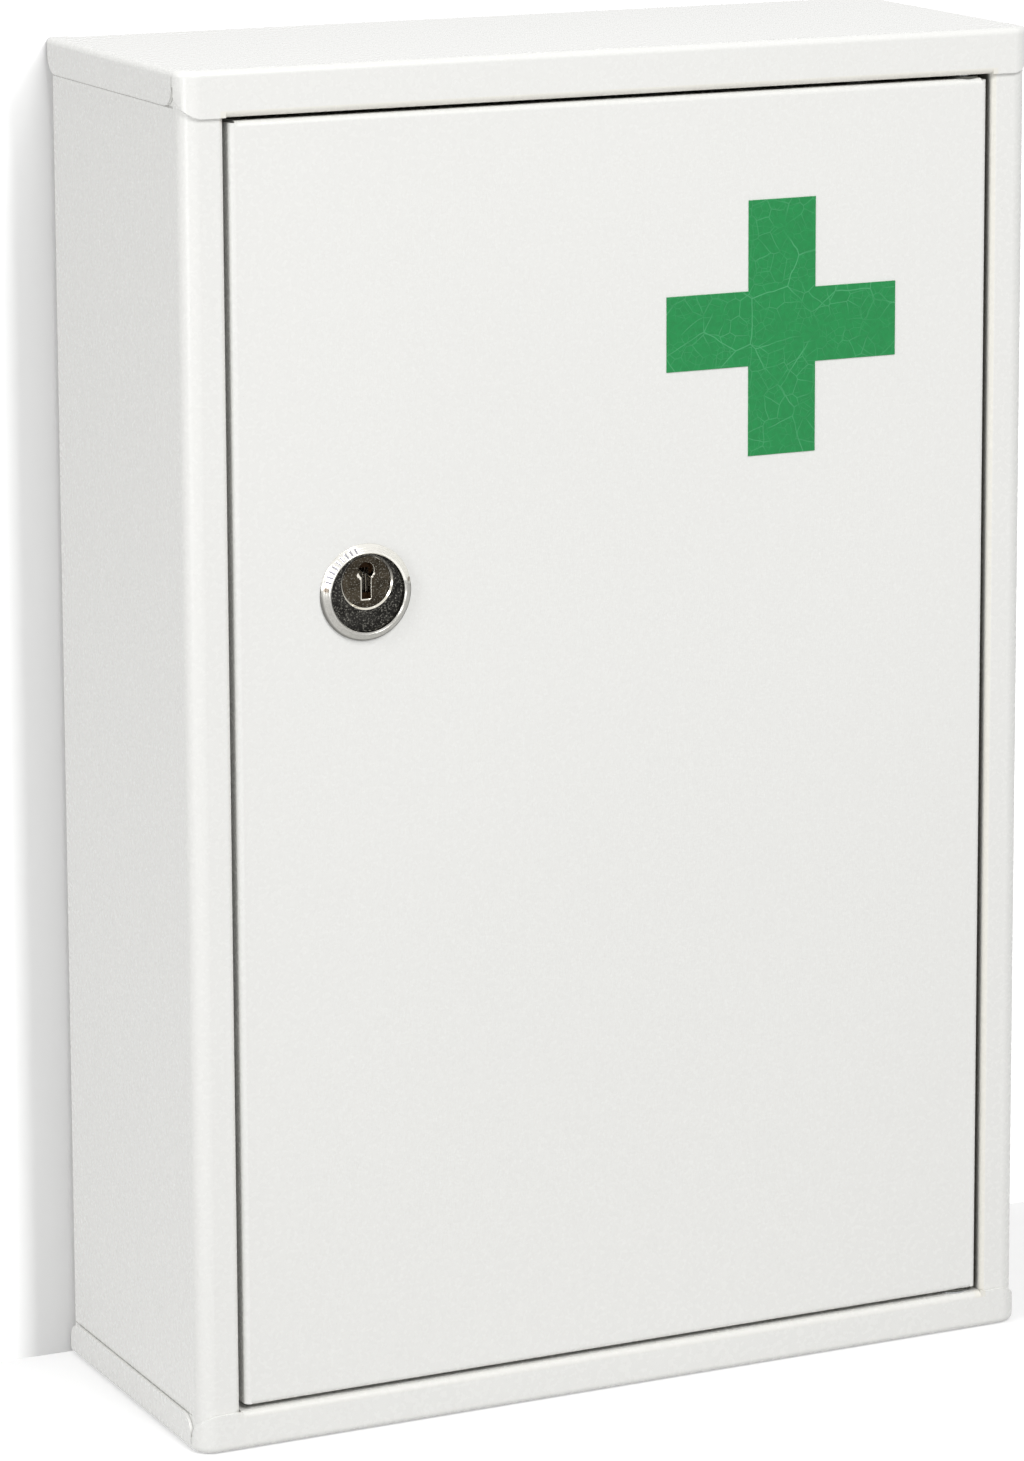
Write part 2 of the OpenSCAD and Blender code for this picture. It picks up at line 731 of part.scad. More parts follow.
// The turning cylinder: head, barrel and the square tenon for the cam.
module lock_plug() {
    color("darkgray") difference() {
        union() {
            at_plug(plug_face - plug_head_t) cylinder(r = plug_head_r, h = plug_head_t);
            at_plug(-barrel_l - cam_gap / 2)
                cylinder(r = plug_r, h = barrel_l + plug_face + cam_gap / 2 - plug_head_t);
            at_plug(-cam_back) translate([-tenon / 2, -tenon / 2, 0])
                cube([tenon, tenon, cam_t + stop_washer_t + 2 * cam_gap]);
        }
        at_plug(plug_face - keyhole_depth) linear_extrude(height = keyhole_depth + past) keyhole();
        for (i = [0 : wafers - 1]) at_plug(-wafer_depth(i)) cube(
            [wafer_w + 2 * wafer_clear, 2 * plug_r + past, wafer_t + 2 * wafer_clear], center = true
        );
        at_plug(-cam_back - past) cylinder(r = screw_r + screw_clear, h = screw_hole_l + past);
    }
}

// Flat tumblers, each with a window for the key, that slide up and down in the plug.
module lock_wafers() {
    color("goldenrod") for (i = [0 : wafers - 1]) at_plug(-wafer_depth(i)) difference() {
        cube([wafer_w, wafer_h, wafer_t], center = true);
        cube([wafer_window_w, wafer_window_h, wafer_t + past], center = true);
    }
}

// A wedge from the axis, a0 to a1 degrees, that reaches past a radius r.
module wedge(r, a0, a1) {
    middle = (a0 + a1) / 2;
    polygon([[0, 0], for (a = [a0, middle, a1]) 2 * r * [cos(a), sin(a)]]);
}

// A keyed washer with a gap in its rim, so that the post stops it after the key's turn.
module stop_washer() {
    half_post = asin((stop_post_r + post_clear) / stop_post_at);
    start = -90 - half_post - stop_play;
    rim_inner_r = stop_post_at - stop_post_r - post_gap;
    color("silver") at_plug(-barrel_l - cam_gap - stop_washer_t) linear_extrude(height = stop_washer_t)
        difference() {
            circle(r = stop_washer_r);
            square(tenon + 2 * tenon_clear, center = true);
            difference() {
                wedge(stop_washer_r, start, start + key_turn + 2 * (half_post + stop_play));
                circle(r = rim_inner_r);
            }
        }
}

// The cam hangs down when the lock is open, and turns to lie behind the stop lip.
module lock_cam() {
    color("silver") at_plug(-cam_back) linear_extrude(height = cam_t) difference() {
        union() {
            circle(r = cam_hub_r);
            translate([-cam_w / 2, -cam_l]) square([cam_w, cam_l]);
        }
        for (side = [0, 1]) mirror([side, 0])
            translate([-cam_w / 2, -cam_l]) corner_waste(cam_tip_r);
        square(tenon + 2 * tenon_clear, center = true);
    }
}

// A split ring under the screw's head.
module spring_washer() {
    color("silver") at_plug(-screw_seat) linear_extrude(height = spring_washer_t) difference() {
        circle(r = spring_washer_r);
        circle(r = screw_r + spring_washer_clear);
        translate([screw_r, -spring_washer_split / 2]) square([spring_washer_r, spring_washer_split]);
    }
}

// A cheese-head screw with a cross recess, driven into the plug's back.
module cam_screw() {
    head_end = screw_seat + screw_head_h;
    color("silver") difference() {
        union() {
            at_plug(-head_end) cylinder(r = screw_head_r, h = screw_head_h);
            at_plug(-screw_seat - past / 2) cylinder(r = screw_r, h = screw_l + past / 2);
        }
        for (a = [0, 90]) at_plug(-head_end) rotate([0, 0, a + 45])
            cube([screw_cross_l, screw_cross_w, screw_head_h], center = true);
    }
}

// ---------------------------------------------------------------- shelves

// A tray with its top face at z = 0: lips turned up at the front and rear, flanges down at the ends.
module shelf() {
    flat_hw = shelf_hw - small_fold;
    translate([-flat_hw, shelf_y0 + small_fold, -sheet_t])
        cube([2 * flat_hw, shelf_y1 - shelf_y0 - 2 * small_fold, sheet_t]);
    translate([0, shelf_y0, 0]) along_x(-flat_hw, flat_hw) shelf_lip_section(shelf_front_lip);
    translate([0, shelf_y1, 0]) mirror([0, 1, 0])
        along_x(-flat_hw, flat_hw) shelf_lip_section(shelf_rear_lip);
    both_sides() difference() {
        along_y(shelf_y0 + shelf_notch, shelf_y1 - shelf_notch) {
            translate([flat_hw, -small_fold]) fold(fold_r);
            strip([shelf_hw - sheet_t, -shelf_end_flange], [shelf_hw, -small_fold]);
        }
        for (y = stud_ys) translate([flat_hw - past, y, -stud_drop]) rotate([90, 0, 90])
            linear_extrude(height = small_fold + 2 * past) stud_notch();
    }
}

// Section of an upturned lip. The first axis runs to the front, and the edge is at the origin.
module shelf_lip_section(lip) {
    translate([-small_fold, small_fold - sheet_t]) fold(fold_r, 1, -1);
    strip([-sheet_t, small_fold - sheet_t], [0, lip]);
}

// A notch that is open at the bottom, so that the shelf lifts off its stud.
module stud_notch() {
    r = stud_r + stud_clear;
    circle(r = r);
    translate([-r, -shelf_end_flange - past]) square([2 * r, shelf_end_flange + past]);
}

module lower_shelf() {
    color("whitesmoke") translate([0, 0, shelf_heights[0]]) shelf();
}

module upper_shelf() {
    color("whitesmoke") translate([0, 0, shelf_heights[1]]) shelf();
}

// A welded stud on the right-hand side's inner face, pointing into the cabinet.
module stud() {
    rotate([0, -90, 0]) rotate_extrude() polygon([
        [0, 0], [stud_flange_r, 0], [stud_flange_r, stud_flange_t], [stud_r, stud_flange_t],
        [stud_r, stud_l - stud_chamfer], [stud_r - stud_chamfer, stud_l], [0, stud_l]
    ]);
}

module shelf_studs() {
    color("silver") both_sides() for (z = shelf_heights, y = stud_ys)
        translate([wrap_inner_hw, y, z - stud_drop]) stud();
}

// ---------------------------------------------------------------- nodes

body_wrap();
top_cap();
bottom_pan();
upper_hinge_pin();
lower_hinge_pin();
thrust_washer();
shelf_studs();
door_buffers();
door_panel();
upper_hinge_bush();
lower_hinge_bush();
first_aid_cross();
lock_collar();
lock_housing();
tooth_washer();
lock_nut();
lock_plug();
lock_wafers();
stop_washer();
lock_cam();
spring_washer();
cam_screw();
upper_shelf();
lower_shelf();
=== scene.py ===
import json
import math

import bmesh
import bpy
import numpy as np
from bpy.props import FloatProperty, FloatVectorProperty, IntProperty, PointerProperty
from mathutils import Matrix, Vector


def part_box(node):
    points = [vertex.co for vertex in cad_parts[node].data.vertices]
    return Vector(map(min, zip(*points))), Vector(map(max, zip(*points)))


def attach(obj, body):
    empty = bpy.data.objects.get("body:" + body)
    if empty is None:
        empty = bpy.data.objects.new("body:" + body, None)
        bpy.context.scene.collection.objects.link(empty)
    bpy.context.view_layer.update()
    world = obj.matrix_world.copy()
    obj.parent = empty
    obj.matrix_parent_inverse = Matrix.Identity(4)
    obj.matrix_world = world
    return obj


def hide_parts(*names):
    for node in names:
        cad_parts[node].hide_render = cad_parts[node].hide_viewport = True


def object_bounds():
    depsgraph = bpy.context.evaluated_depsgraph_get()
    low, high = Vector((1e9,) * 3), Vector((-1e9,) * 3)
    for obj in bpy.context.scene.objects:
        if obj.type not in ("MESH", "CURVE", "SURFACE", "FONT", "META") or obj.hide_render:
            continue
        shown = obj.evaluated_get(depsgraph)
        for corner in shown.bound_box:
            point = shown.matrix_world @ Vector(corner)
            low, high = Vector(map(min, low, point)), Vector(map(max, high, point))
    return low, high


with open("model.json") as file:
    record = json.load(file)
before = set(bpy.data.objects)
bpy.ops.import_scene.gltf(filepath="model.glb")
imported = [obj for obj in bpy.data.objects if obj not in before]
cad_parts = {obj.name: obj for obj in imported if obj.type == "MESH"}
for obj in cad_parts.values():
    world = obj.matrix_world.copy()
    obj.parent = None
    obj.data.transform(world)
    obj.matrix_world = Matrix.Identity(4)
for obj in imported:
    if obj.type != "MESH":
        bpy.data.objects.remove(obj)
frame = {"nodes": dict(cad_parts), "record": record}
CAD_BOX = [list(corner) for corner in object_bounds()]

bl_info = {
    "name": "Folded Steel Medicine Cabinet",
    "version": (1, 0, 0),
    "blender": (4, 5, 0),
    "location": "View3D > Sidebar > Cabinet",
    "description": "Finishes, lock and studio for a wall cabinet in white powder-coated sheet steel",
    "category": "Object",
}

MM = 0.001
NODES = frame["nodes"]
FULL_TURN = 2 * math.pi
# Bright spots painted on the plug's face round the keyhole, as highlights where the key also rubs: x, z and
# radius in mm, from the plug's axis
KEY_RUB_AND_HIGHLIGHTS = ((-1.9, 1.75, 0.7), (-1.5, 1.0, 0.45), (1.95, 1.9, 0.42), (1.6, 1.2, 0.3), (0.9, 0.3, 0.3))
# Painted highlights along the keyhole's slot: left, right, low and high in mm, from the plug's axis
SLOT_HIGHLIGHTS = ((-1.5, -1.2, -4.5, 1.0), (-1.3, 1.0, -4.6, -4.3))
# Brown spots painted on the collar as reflections: x and z in mm, from the lock's axis
COLLAR_BROWN_REFLECTIONS = ((-11.2, 1.7), (11.3, 2.5))
# Brightness of the sky's light, and what the camera sees the floor give off beside it
SKY_LIGHT, FLOOR_GLOW = 0.30, 0.40
# Softboxes for the cabinet: name, place in metres, side in metres and power in watts
LAMPS = (
    ("left_softbox", (-1.60, -0.70, 1.15), 0.5, 5.5),
    ("front_softbox", (0.10, -1.50, 1.60), 0.8, 23.8),
    ("overhead_softbox", (-0.20, 0.10, 1.80), 1.0, 4.2),
    ("side_softbox", (-1.80, 0.10, 0.90), 0.8, 5.1),
    ("corner_softbox", (-1.30, -0.65, 0.18), 0.3, 1.5),
)


# ---------------------------------------------------------------- colours and nodes


def linear(hex_colour):
    """The linear RGBA value of an sRGB hex colour."""
    channels = [int(hex_colour[i : i + 2], 16) / 255 for i in (1, 3, 5)]
    curve = [c / 12.92 if c <= 0.04045 else ((c + 0.055) / 1.055) ** 2.4 for c in channels]
    return (*curve, 1.0)


def add(tree, kind, settings=None, **links):
    """Adds a node. Settings are its properties or input values, and links feed its inputs from sockets."""
    node = tree.nodes.new(kind)
    for name, value in (settings or {}).items():
        if isinstance(name, int) or name in node.inputs:
            node.inputs[name].default_value = value
        else:
            setattr(node, name, value)
    for name, socket in links.items():
        key = int(name[1:]) if name[0] == "_" else name.replace("_", " ")
        tree.links.new(socket, node.inputs[key])
    return node


def new_material(name):
    """An empty node material with its output."""
    material = bpy.data.materials.new(name)
    material.use_nodes = True
    tree = material.node_tree
    tree.nodes.clear()
    output = add(tree, "ShaderNodeOutputMaterial")
    return material, tree, output


def surface(tree, output, settings, **links):
    """The Principled shader of a material, joined to its output."""
    shader = add(tree, "ShaderNodeBsdfPrincipled", settings, **links)
    tree.links.new(shader.outputs["BSDF"], output.inputs["Surface"])
    return shader


def object_point(tree):
    """The socket that gives a point of the piece in metres, in the cabinet's frame."""
    return add(tree, "ShaderNodeTexCoord").outputs["Object"]


def noise(tree, point, grain, detail=2.0, roughness=0.5):
    """Noise between 0 and 1 whose grains measure about that many metres."""
    settings = {"Scale": 1 / grain, "Detail": detail, "Roughness": roughness}
    return add(tree, "ShaderNodeTexNoise", settings, Vector=point).outputs["Fac"]


def ramp(tree, value, low, high, to_low=0.0, to_high=1.0):
    """A smooth step: to_low below low, to_high above high."""
    settings = {
        "interpolation_type": "SMOOTHSTEP",
        "From Min": low,
        "From Max": high,
        "To Min": to_low,
        "To Max": to_high,
    }
    return add(tree, "ShaderNodeMapRange", settings, Value=value).outputs["Result"]


def blend(tree, share, colour_a, colour_b):
    """Colour a where share is 0 and colour b where it is 1. Each is a colour or a socket."""
    node = add(tree, "ShaderNodeMix", {"data_type": "RGBA"})
    tree.links.new(share, node.inputs[0])
    for slot, colour in ((6, colour_a), (7, colour_b)):
        if isinstance(colour, bpy.types.NodeSocket):
            tree.links.new(colour, node.inputs[slot])
        else:
            node.inputs[slot].default_value = colour
    return node.outputs[2]


def maths(tree, operation, a, b=None):
    """One Math node. Each value is a number or a socket."""
    node = add(tree, "ShaderNodeMath", {"operation": operation})
    for slot, value in enumerate((a, b)):
        if isinstance(value, bpy.types.NodeSocket):
            tree.links.new(value, node.inputs[slot])
        elif value is not None:
            node.inputs[slot].default_value = value
    return node.outputs[0]


def bump(tree, height, depth, under=None):
    """A normal from a height between 0 and 1 that stands for that many metres."""
    node = add(tree, "ShaderNodeBump", {"Distance": depth}, Height=height)
    if under is not None:
        tree.links.new(under, node.inputs["Normal"])
    return node.outputs["Normal"]


def dress(material, *node_names):
    """Gives that material to every slot of some CAD nodes."""
    for name in node_names:
        for slot in NODES[name].material_slots:
            slot.material = material


# ---------------------------------------------------------------- finishes


def mask_box(tree, point, low, high, soft):
    """A value that is 1 inside a box of the cabinet's frame and falls to 0 over soft metres outside it."""
    low, high = Vector(low), Vector(high)
    away = add(tree, "ShaderNodeVectorMath", {"operation": "SUBTRACT", 1: (low + high) / 2}, _0=point)
    away = add(tree, "ShaderNodeVectorMath", {"operation": "ABSOLUTE"}, _0=away.outputs[0])
    half = (high - low) / 2
    past = add(tree, "ShaderNodeVectorMath", {"operation": "SUBTRACT", 1: half}, _0=away.outputs[0])
    parts = add(tree, "ShaderNodeSeparateXYZ", None, Vector=past.outputs[0]).outputs
    furthest = maths(tree, "MAXIMUM", maths(tree, "MAXIMUM", parts[0], parts[1]), parts[2])
    return ramp(tree, furthest, 0.0, soft, 1.0, 0.0)


def axis_distance(tree, point, x, z):
    """Distance of a point from the line through x, z that runs along Y."""
    away = add(tree, "ShaderNodeVectorMath", {"operation": "SUBTRACT", 1: (x, 0, z)}, _0=point)
    flat = add(tree, "ShaderNodeVectorMath", {"operation": "MULTIPLY", 1: (1, 0, 1)}, _0=away.outputs[0])
    return add(tree, "ShaderNodeVectorMath", {"operation": "LENGTH"}, _0=flat.outputs[0]).outputs["Value"]


def scaled(colour, factor):
    """A colour made darker by a factor."""
    return tuple(channel * factor for channel in colour[:3]) + (1.0,)


def powder_coat(name, paint):
    """White polyester powder coat on steel: a semi-gloss film with a faint orange peel.

    The film flows before it sets, so its ripples are 1 to 2 mm across and a micrometre or two high. Its
    colour drifts by about one part in a hundred over a hand's width, and dust leaves rare specks. Painted
    shade makes the film grey inside the narrow gap round the door and in a line along each cap's side lip,
    and a painted warm reflection makes the folds that border the gap a little creamy.
    """
    material, tree, output = new_material(name)
    point = object_point(tree)
    white = tuple(paint.body)
    gap_shade = tuple(paint.gap_shade)
    peel = noise(tree, point, 1.6 * MM)
    drift = noise(tree, point, 90 * MM, detail=0.0)
    dust = ramp(tree, noise(tree, point, 0.9 * MM, detail=1.0), 0.80, 0.86)
    mottle = noise(tree, point, 0.7 * MM, detail=1.0)
    fold_sheen, shaded_gap = painted_gap_light(tree, point, paint.gap)
    film = blend(tree, ramp(tree, drift, 0.2, 0.8), scaled(white, 0.99), white)
    film = blend(tree, ramp(tree, mottle, 0.3, 0.7, 0.15, 0.0), film, scaled(white, 0.96))
    film = blend(tree, dust, film, scaled(white, 0.86))
    # Painted reflection: a warm cream tint on the folds that border the door's gap.
    film = blend(tree, fold_sheen, film, tuple(paint.fold_reflection))
    # Painted shadow: a grey line on the wrap along each cap's side lip.
    film = blend(tree, lap_shadow(tree, point), film, gap_shade)
    # Painted shade: grey inside the door's gap.
    film = blend(tree, shaded_gap, film, gap_shade)
    gloss = ramp(tree, peel, 0.3, 0.7, 0.26, 0.28)
    ripples = bump(tree, peel, 0.0015 * MM)
    surface(tree, output, {"IOR": 1.5}, Base_Color=film, Roughness=gloss, Normal=ripples)
    return material


def painted_gap_light(tree, point, gap):
    """Two masks: a painted warm reflection on the folds that border the door's gap, and painted shade inside
    the gap.

    Both are four times as strong at the right and the top of the door as at the left and the bottom, where
    more light reaches into the gap.
    """
    low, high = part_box("door_panel")
    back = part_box("body_wrap")[1].y
    edge, border, weak = 0.1 * MM, 1.0 * MM, 0.25
    outer_low = (low.x - gap, low.y - MM, low.z - gap)
    outer_high = (high.x + gap, back, high.z + gap)
    inner_low = (low.x + edge, low.y - MM, low.z + edge)
    inner_high = (high.x - edge, back, high.z - edge)
    wide_low = (outer_low[0] - border, low.y - 2 * MM, outer_low[2] - border)
    wide_high = (outer_high[0] + border, low.y + border, outer_high[2] + border)
    door = mask_box(tree, point, inner_low, inner_high, 0.05 * MM)
    opening = maths(tree, "SUBTRACT", mask_box(tree, point, outer_low, outer_high, edge), door)
    folds = maths(tree, "SUBTRACT", mask_box(tree, point, wide_low, wide_high, 0.4 * MM), door)

    across, depth, height = add(tree, "ShaderNodeSeparateXYZ", None, Vector=point).outputs
    deep = ramp(tree, depth, low.y + 0.8 * MM, low.y + 3.0 * MM)
    right = ramp(tree, across, high.x - MM, high.x, weak, 1.0)
    top = ramp(tree, height, high.z - MM, high.z, weak, 1.0)
    share = maths(tree, "MAXIMUM", right, top)
    # Painted shade inside the gap, weaker at the left and the bottom, where more light reaches.
    shaded_gap = maths(tree, "MULTIPLY", maths(tree, "MULTIPLY", opening, deep), share)
    # Painted warm reflection on the folds round the gap.
    fold_sheen = maths(tree, "MULTIPLY", maths(tree, "MAXIMUM", folds, 0.0), share)
    return maths(tree, "MULTIPLY", fold_sheen, 0.45), maths(tree, "MAXIMUM", shaded_gap, 0.0)


def lap_shadow(tree, point):
    """0.6 in a line on the wrap's sides along the edge of each cap's side lip: a painted shadow of the lip's
    step.
    """
    low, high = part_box("body_wrap")
    skin, soft = 0.05 * MM, 0.15 * MM
    front = low.y + 6 * MM
    line = 0.0
    for edge, drop, rise in (
        (side_lip_edge("top_cap"), 0.45 * MM, 0),
        (side_lip_edge("bottom_pan"), 0, 0.18 * MM),
    ):
        for x in (low.x, high.x):
            near = (x - skin, front, edge - drop)
            far = (x + skin, high.y, edge + rise)
            line = maths(tree, "MAXIMUM", line, mask_box(tree, point, near, far, soft))
    return maths(tree, "MULTIPLY", line, 0.6)


def side_lip_edge(node_name):
    """Height of the free edge of a cap's side lip, from its mesh's outermost corners clear of the front."""
    low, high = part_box(node_name)
    mesh = NODES[node_name].data
    places = np.empty(len(mesh.vertices) * 3)
    mesh.vertices.foreach_get("co", places)
    places = places.reshape(-1, 3)
    outermost = places[:, 0] > high.x - 0.01 * MM
    clear_of_front = places[:, 1] > (low.y + high.y) / 2 - 20 * MM
    heights = places[outermost & clear_of_front, 2]
    return heights.min() if node_name == "top_cap" else heights.max()


def plated(name, colour, roughness, grain, dullest=0.8, ripple=0.001 * MM):
    """A plated metal: patches of tarnish over fine marks from polishing, grain metres across."""
    material, tree, output = new_material(name)
    point = object_point(tree)
    marks = noise(tree, point, grain, detail=4.0, roughness=0.7)
    tarnish = ramp(tree, noise(tree, point, 8 * grain, detail=3.0), 0.4, 0.75)
    surface(
        tree,
        output,
        {"Metallic": 1.0},
        Base_Color=blend(tree, tarnish, colour, scaled(colour, dullest)),
        Roughness=ramp(tree, marks, 0.3, 0.75, roughness * 0.7, roughness * 1.4),
        Normal=bump(tree, marks, ripple),
    )
    return material


def collar_nickel(name, lock):
    """Bright nickel on a turned collar: a mirror above, rougher below with a painted darker reflection and a
    darker outer edge, painted shade in its index marks, and two painted brown reflections.
    """
    material, tree, output = new_material(name)
    point = object_point(tree)
    clean = tuple(lock.collar)
    polish = noise(tree, point, 0.35 * MM, detail=4.0, roughness=0.7)
    height = add(tree, "ShaderNodeSeparateXYZ", None, Vector=point).outputs[2]
    wander = maths(tree, "MULTIPLY", noise(tree, point, 3 * MM, detail=3.0), 4 * MM)
    middle = lock_middle()[2]
    # Painted reflection: the collar's lower part is darker and greyer, as if it mirrored dark surroundings.
    below = ramp(tree, maths(tree, "ADD", height, wander), middle + 3.2 * MM, middle + 4.8 * MM, 1.0, 0.0)
    low_reflection = blend(tree, ramp(tree, polish, 0.3, 0.7), scaled(clean, 0.46), scaled(clean, 0.60))
    out = axis_distance(tree, point, lock_middle()[0], middle)
    # Painted shade: darker still at the collar's outer edge.
    low_reflection = blend(tree, ramp(tree, out, 11.6 * MM, 12.1 * MM), low_reflection, scaled(clean, 0.22))
    tone = blend(tree, below, clean, low_reflection)
    mark_shade = add(tree, "ShaderNodeAttribute", {"attribute_name": "mark_shade"}).outputs["Fac"]
    # Painted shade in the index marks' grooves.
    tone = blend(tree, mark_shade, tone, linear("#7D7C8A"))
    # Painted reflections: two brown spots on the collar.
    for right, up in COLLAR_BROWN_REFLECTIONS:
        near = axis_distance(tree, point, lock_middle()[0] + right * MM, middle + up * MM)
        tone = blend(tree, ramp(tree, near, 0.3 * MM, 0.9 * MM, 0.8, 0.0), tone, linear("#5A4630"))
    surface(
        tree,
        output,
        {"Metallic": 1.0},
        Base_Color=tone,
        Roughness=ramp(tree, below, 0.0, 1.0, 0.16, 0.28),
        Normal=bump(tree, polish, 0.001 * MM),
    )
    return material


def dark_nickel_with_highlights(name, colour, bright, is_bright):
    """Dark nickel with pale pits, and bright nickel where a mask says. Its near-black colour is partly a
    painted dark reflection, standing in for what a bright face would mirror.

    is_bright turns the tree and its point into a mask of the bright places, painted highlights among them.
    """
    material, tree, output = new_material(name)
    point = object_point(tree)
    pits = noise(tree, point, 0.42 * MM, detail=4.0, roughness=0.7)
    cloud = noise(tree, point, 3.5 * MM, detail=3.0)
    dark = blend(tree, ramp(tree, cloud, 0.35, 0.65), scaled(colour, 0.55), colour)
    dark = blend(tree, ramp(tree, pits, 0.53, 0.66, 0.0, 0.85), dark, linear("#8E8C84"))
    # This mask gives the bright metal and the painted highlights.
    worn_and_lit = is_bright(tree, point)
    tone = blend(tree, worn_and_lit, dark, bright)
    roughness = ramp(tree, worn_and_lit, 0.0, 1.0, 0.22, 0.12)
    surface(
        tree,
        output,
        {"Metallic": 1.0},
        Base_Color=tone,
        Roughness=roughness,
        Normal=bump(tree, pits, 0.003 * MM),
    )
    return material


def moulded(name, colour, roughness, grain):
    """A moulded plastic or rubber with a fine matt grain from its mould."""
    material, tree, output = new_material(name)
    point = object_point(tree)
    texture = noise(tree, point, grain, detail=3.0)
    surface(
        tree,
        output,
        {"IOR": 1.5},
        Base_Color=blend(tree, ramp(tree, texture, 0.3, 0.7), scaled(colour, 0.88), colour),
        Roughness=ramp(tree, texture, 0.3, 0.7, roughness * 0.9, roughness * 1.15),
        Normal=bump(tree, texture, 0.02 * MM),
    )
    return material


def cracks(tree, point, cell, width, fade_grain):
    """Hairlines between cells that many metres across, which fade out here and there."""
    net = add(
        tree,
        "ShaderNodeTexVoronoi",
        {"feature": "DISTANCE_TO_EDGE", "voronoi_dimensions": "2D", "Scale": 1 / cell},
        Vector=point,
    )
    line = ramp(tree, net.outputs["Distance"], 0.25 * width / cell, width / cell, 1.0, 0.0)
    shown = ramp(tree, noise(tree, point, fade_grain, detail=2.0), 0.38, 0.62)
    return maths(tree, "MULTIPLY", line, shown)


def crazed_vinyl(name, cross):
    """Cast vinyl film, crazed with age: pale hairlines between cells 2 to 13 mm across.

    The real hairlines are about 0.1 mm wide, and the widest are drawn at twice that so that they show.
    """
    material, tree, output = new_material(name)
    point = object_point(tree)
    parts = add(tree, "ShaderNodeSeparateXYZ", None, Vector=point).outputs
    flat = add(tree, "ShaderNodeCombineXYZ", None, X=parts[0], Y=parts[2]).outputs[0]
    bend = add(tree, "ShaderNodeTexNoise", {"Scale": 1 / (9 * MM), "Detail": 2.0}, Vector=flat)
    pull = add(
        tree, "ShaderNodeVectorMath", {"operation": "SUBTRACT", 1: (0.5, 0.5, 0.5)}, _0=bend.outputs["Color"]
    )
    pull = add(tree, "ShaderNodeVectorMath", {"operation": "SCALE", "Scale": 2.5 * MM}, _0=pull.outputs[0])
    warped = add(tree, "ShaderNodeVectorMath", {"operation": "ADD"}, _0=flat, _1=pull.outputs[0]).outputs[0]
    wide = cracks(tree, warped, cross.cell, cross.crack, 14 * MM)
    fine = cracks(tree, warped, cross.cell * 0.36, cross.crack * 0.8, 9 * MM)
    finest = cracks(tree, warped, cross.cell * 0.17, cross.crack * 0.6, 6 * MM)
    net = maths(tree, "MAXIMUM", wide, maths(tree, "MULTIPLY", fine, 0.7))
    net = maths(tree, "MAXIMUM", net, maths(tree, "MULTIPLY", finest, 0.35))
    mottle = ramp(tree, noise(tree, point, 1.1 * MM, detail=4.0), 0.3, 0.7)
    body = blend(tree, mottle, scaled(tuple(cross.vinyl), 0.88), tuple(cross.vinyl))
    tone = blend(tree, maths(tree, "MULTIPLY", net, 0.42), body, tuple(cross.hairline))
    surface(
        tree,
        output,
        {"IOR": 1.5},
        Base_Color=tone,
        Roughness=ramp(tree, mottle, 0.0, 1.0, 0.42, 0.5),
        Normal=bump(tree, maths(tree, "SUBTRACT", 1.0, net), 0.02 * MM),
    )
    return material


# ---------------------------------------------------------------- meshes


def link_piece(name, mesh, material, body, stands_for):
    """Shows a mesh with its material, on its body and slot, in place of a CAD node."""
    mesh.materials.clear()
    mesh.materials.append(material)
    piece = bpy.data.objects.new(name, mesh)
    bpy.context.scene.collection.objects.link(piece)
    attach(piece, body)
    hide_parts(stands_for)
    return piece


def ring_mesh(name, points):
    """A mesh over a grid of points, rows by columns by XYZ, closed both ways like a tyre."""
    rows, columns, _ = points.shape
    index = np.arange(rows * columns).reshape(rows, columns)
    across = np.roll(index, -1, axis=1)
    corners = (index, across, np.roll(across, -1, axis=0), np.roll(index, -1, axis=0))
    faces = np.stack(corners, axis=-1).reshape(-1, 4)
    return faced_mesh(name, points.reshape(-1, 3), faces)


def faced_mesh(name, vertices, faces, crease=35):
    """A closed mesh, its faces turned outwards, shaded smooth apart from folds over crease degrees.

    The faces point outwards where the sum of their corners' triple products, which is six times the
    volume, is positive. Otherwise each face's corners are put in the other order.
    """
    first, second, third = (vertices[faces[:, i]] for i in (0, 1, 2))
    fourth = vertices[faces[:, 3]]
    halves = np.cross(first, second) * third + np.cross(first, third) * fourth
    if halves.sum() < 0:
        faces = faces[:, ::-1]
    mesh = bpy.data.meshes.new(name)
    mesh.from_pydata(vertices.tolist(), [], faces.tolist())
    mesh.shade_smooth()
    mesh.set_sharp_from_angle(angle=math.radians(crease))
    return mesh


def eased(corners, cut, steps=5):
    """Rounds a closed outline's corners.

    Each corner becomes a curve of steps points from one side to the other: at a share t of the way, the
    point is (1 - t)^2 times the start, 2t(1 - t) times the corner and t^2 times the end, and the start and
    end lie on the corner's two sides, cut away from it.
    """
    corners = np.asarray(corners, float)
    behind = np.roll(corners, 1, axis=0) - corners
    ahead = np.roll(corners, -1, axis=0) - corners
    start = corners + cut * behind / np.linalg.norm(behind, axis=1, keepdims=True)
    finish = corners + cut * ahead / np.linalg.norm(ahead, axis=1, keepdims=True)
    t = np.linspace(0, 1, steps)[None, :, None]
    curve = (1 - t) ** 2 * start[:, None] + 2 * t * (1 - t) * corners[:, None] + t**2 * finish[:, None]
    return curve.reshape(-1, 2)


def out_of_door(radius, height, angle, centre):
    """Points round an axis that stands out of the door: x = r cos a, z = r sin a, y = height forwards.

    radius and height are in millimetres, and centre is where the axis meets the door's face.
    """
    x = centre[0] + MM * radius * np.cos(angle)
    y = centre[1] - MM * height * np.ones_like(x)
    z = centre[2] + MM * radius * np.sin(angle)
    return np.stack([x, y, z], axis=-1)


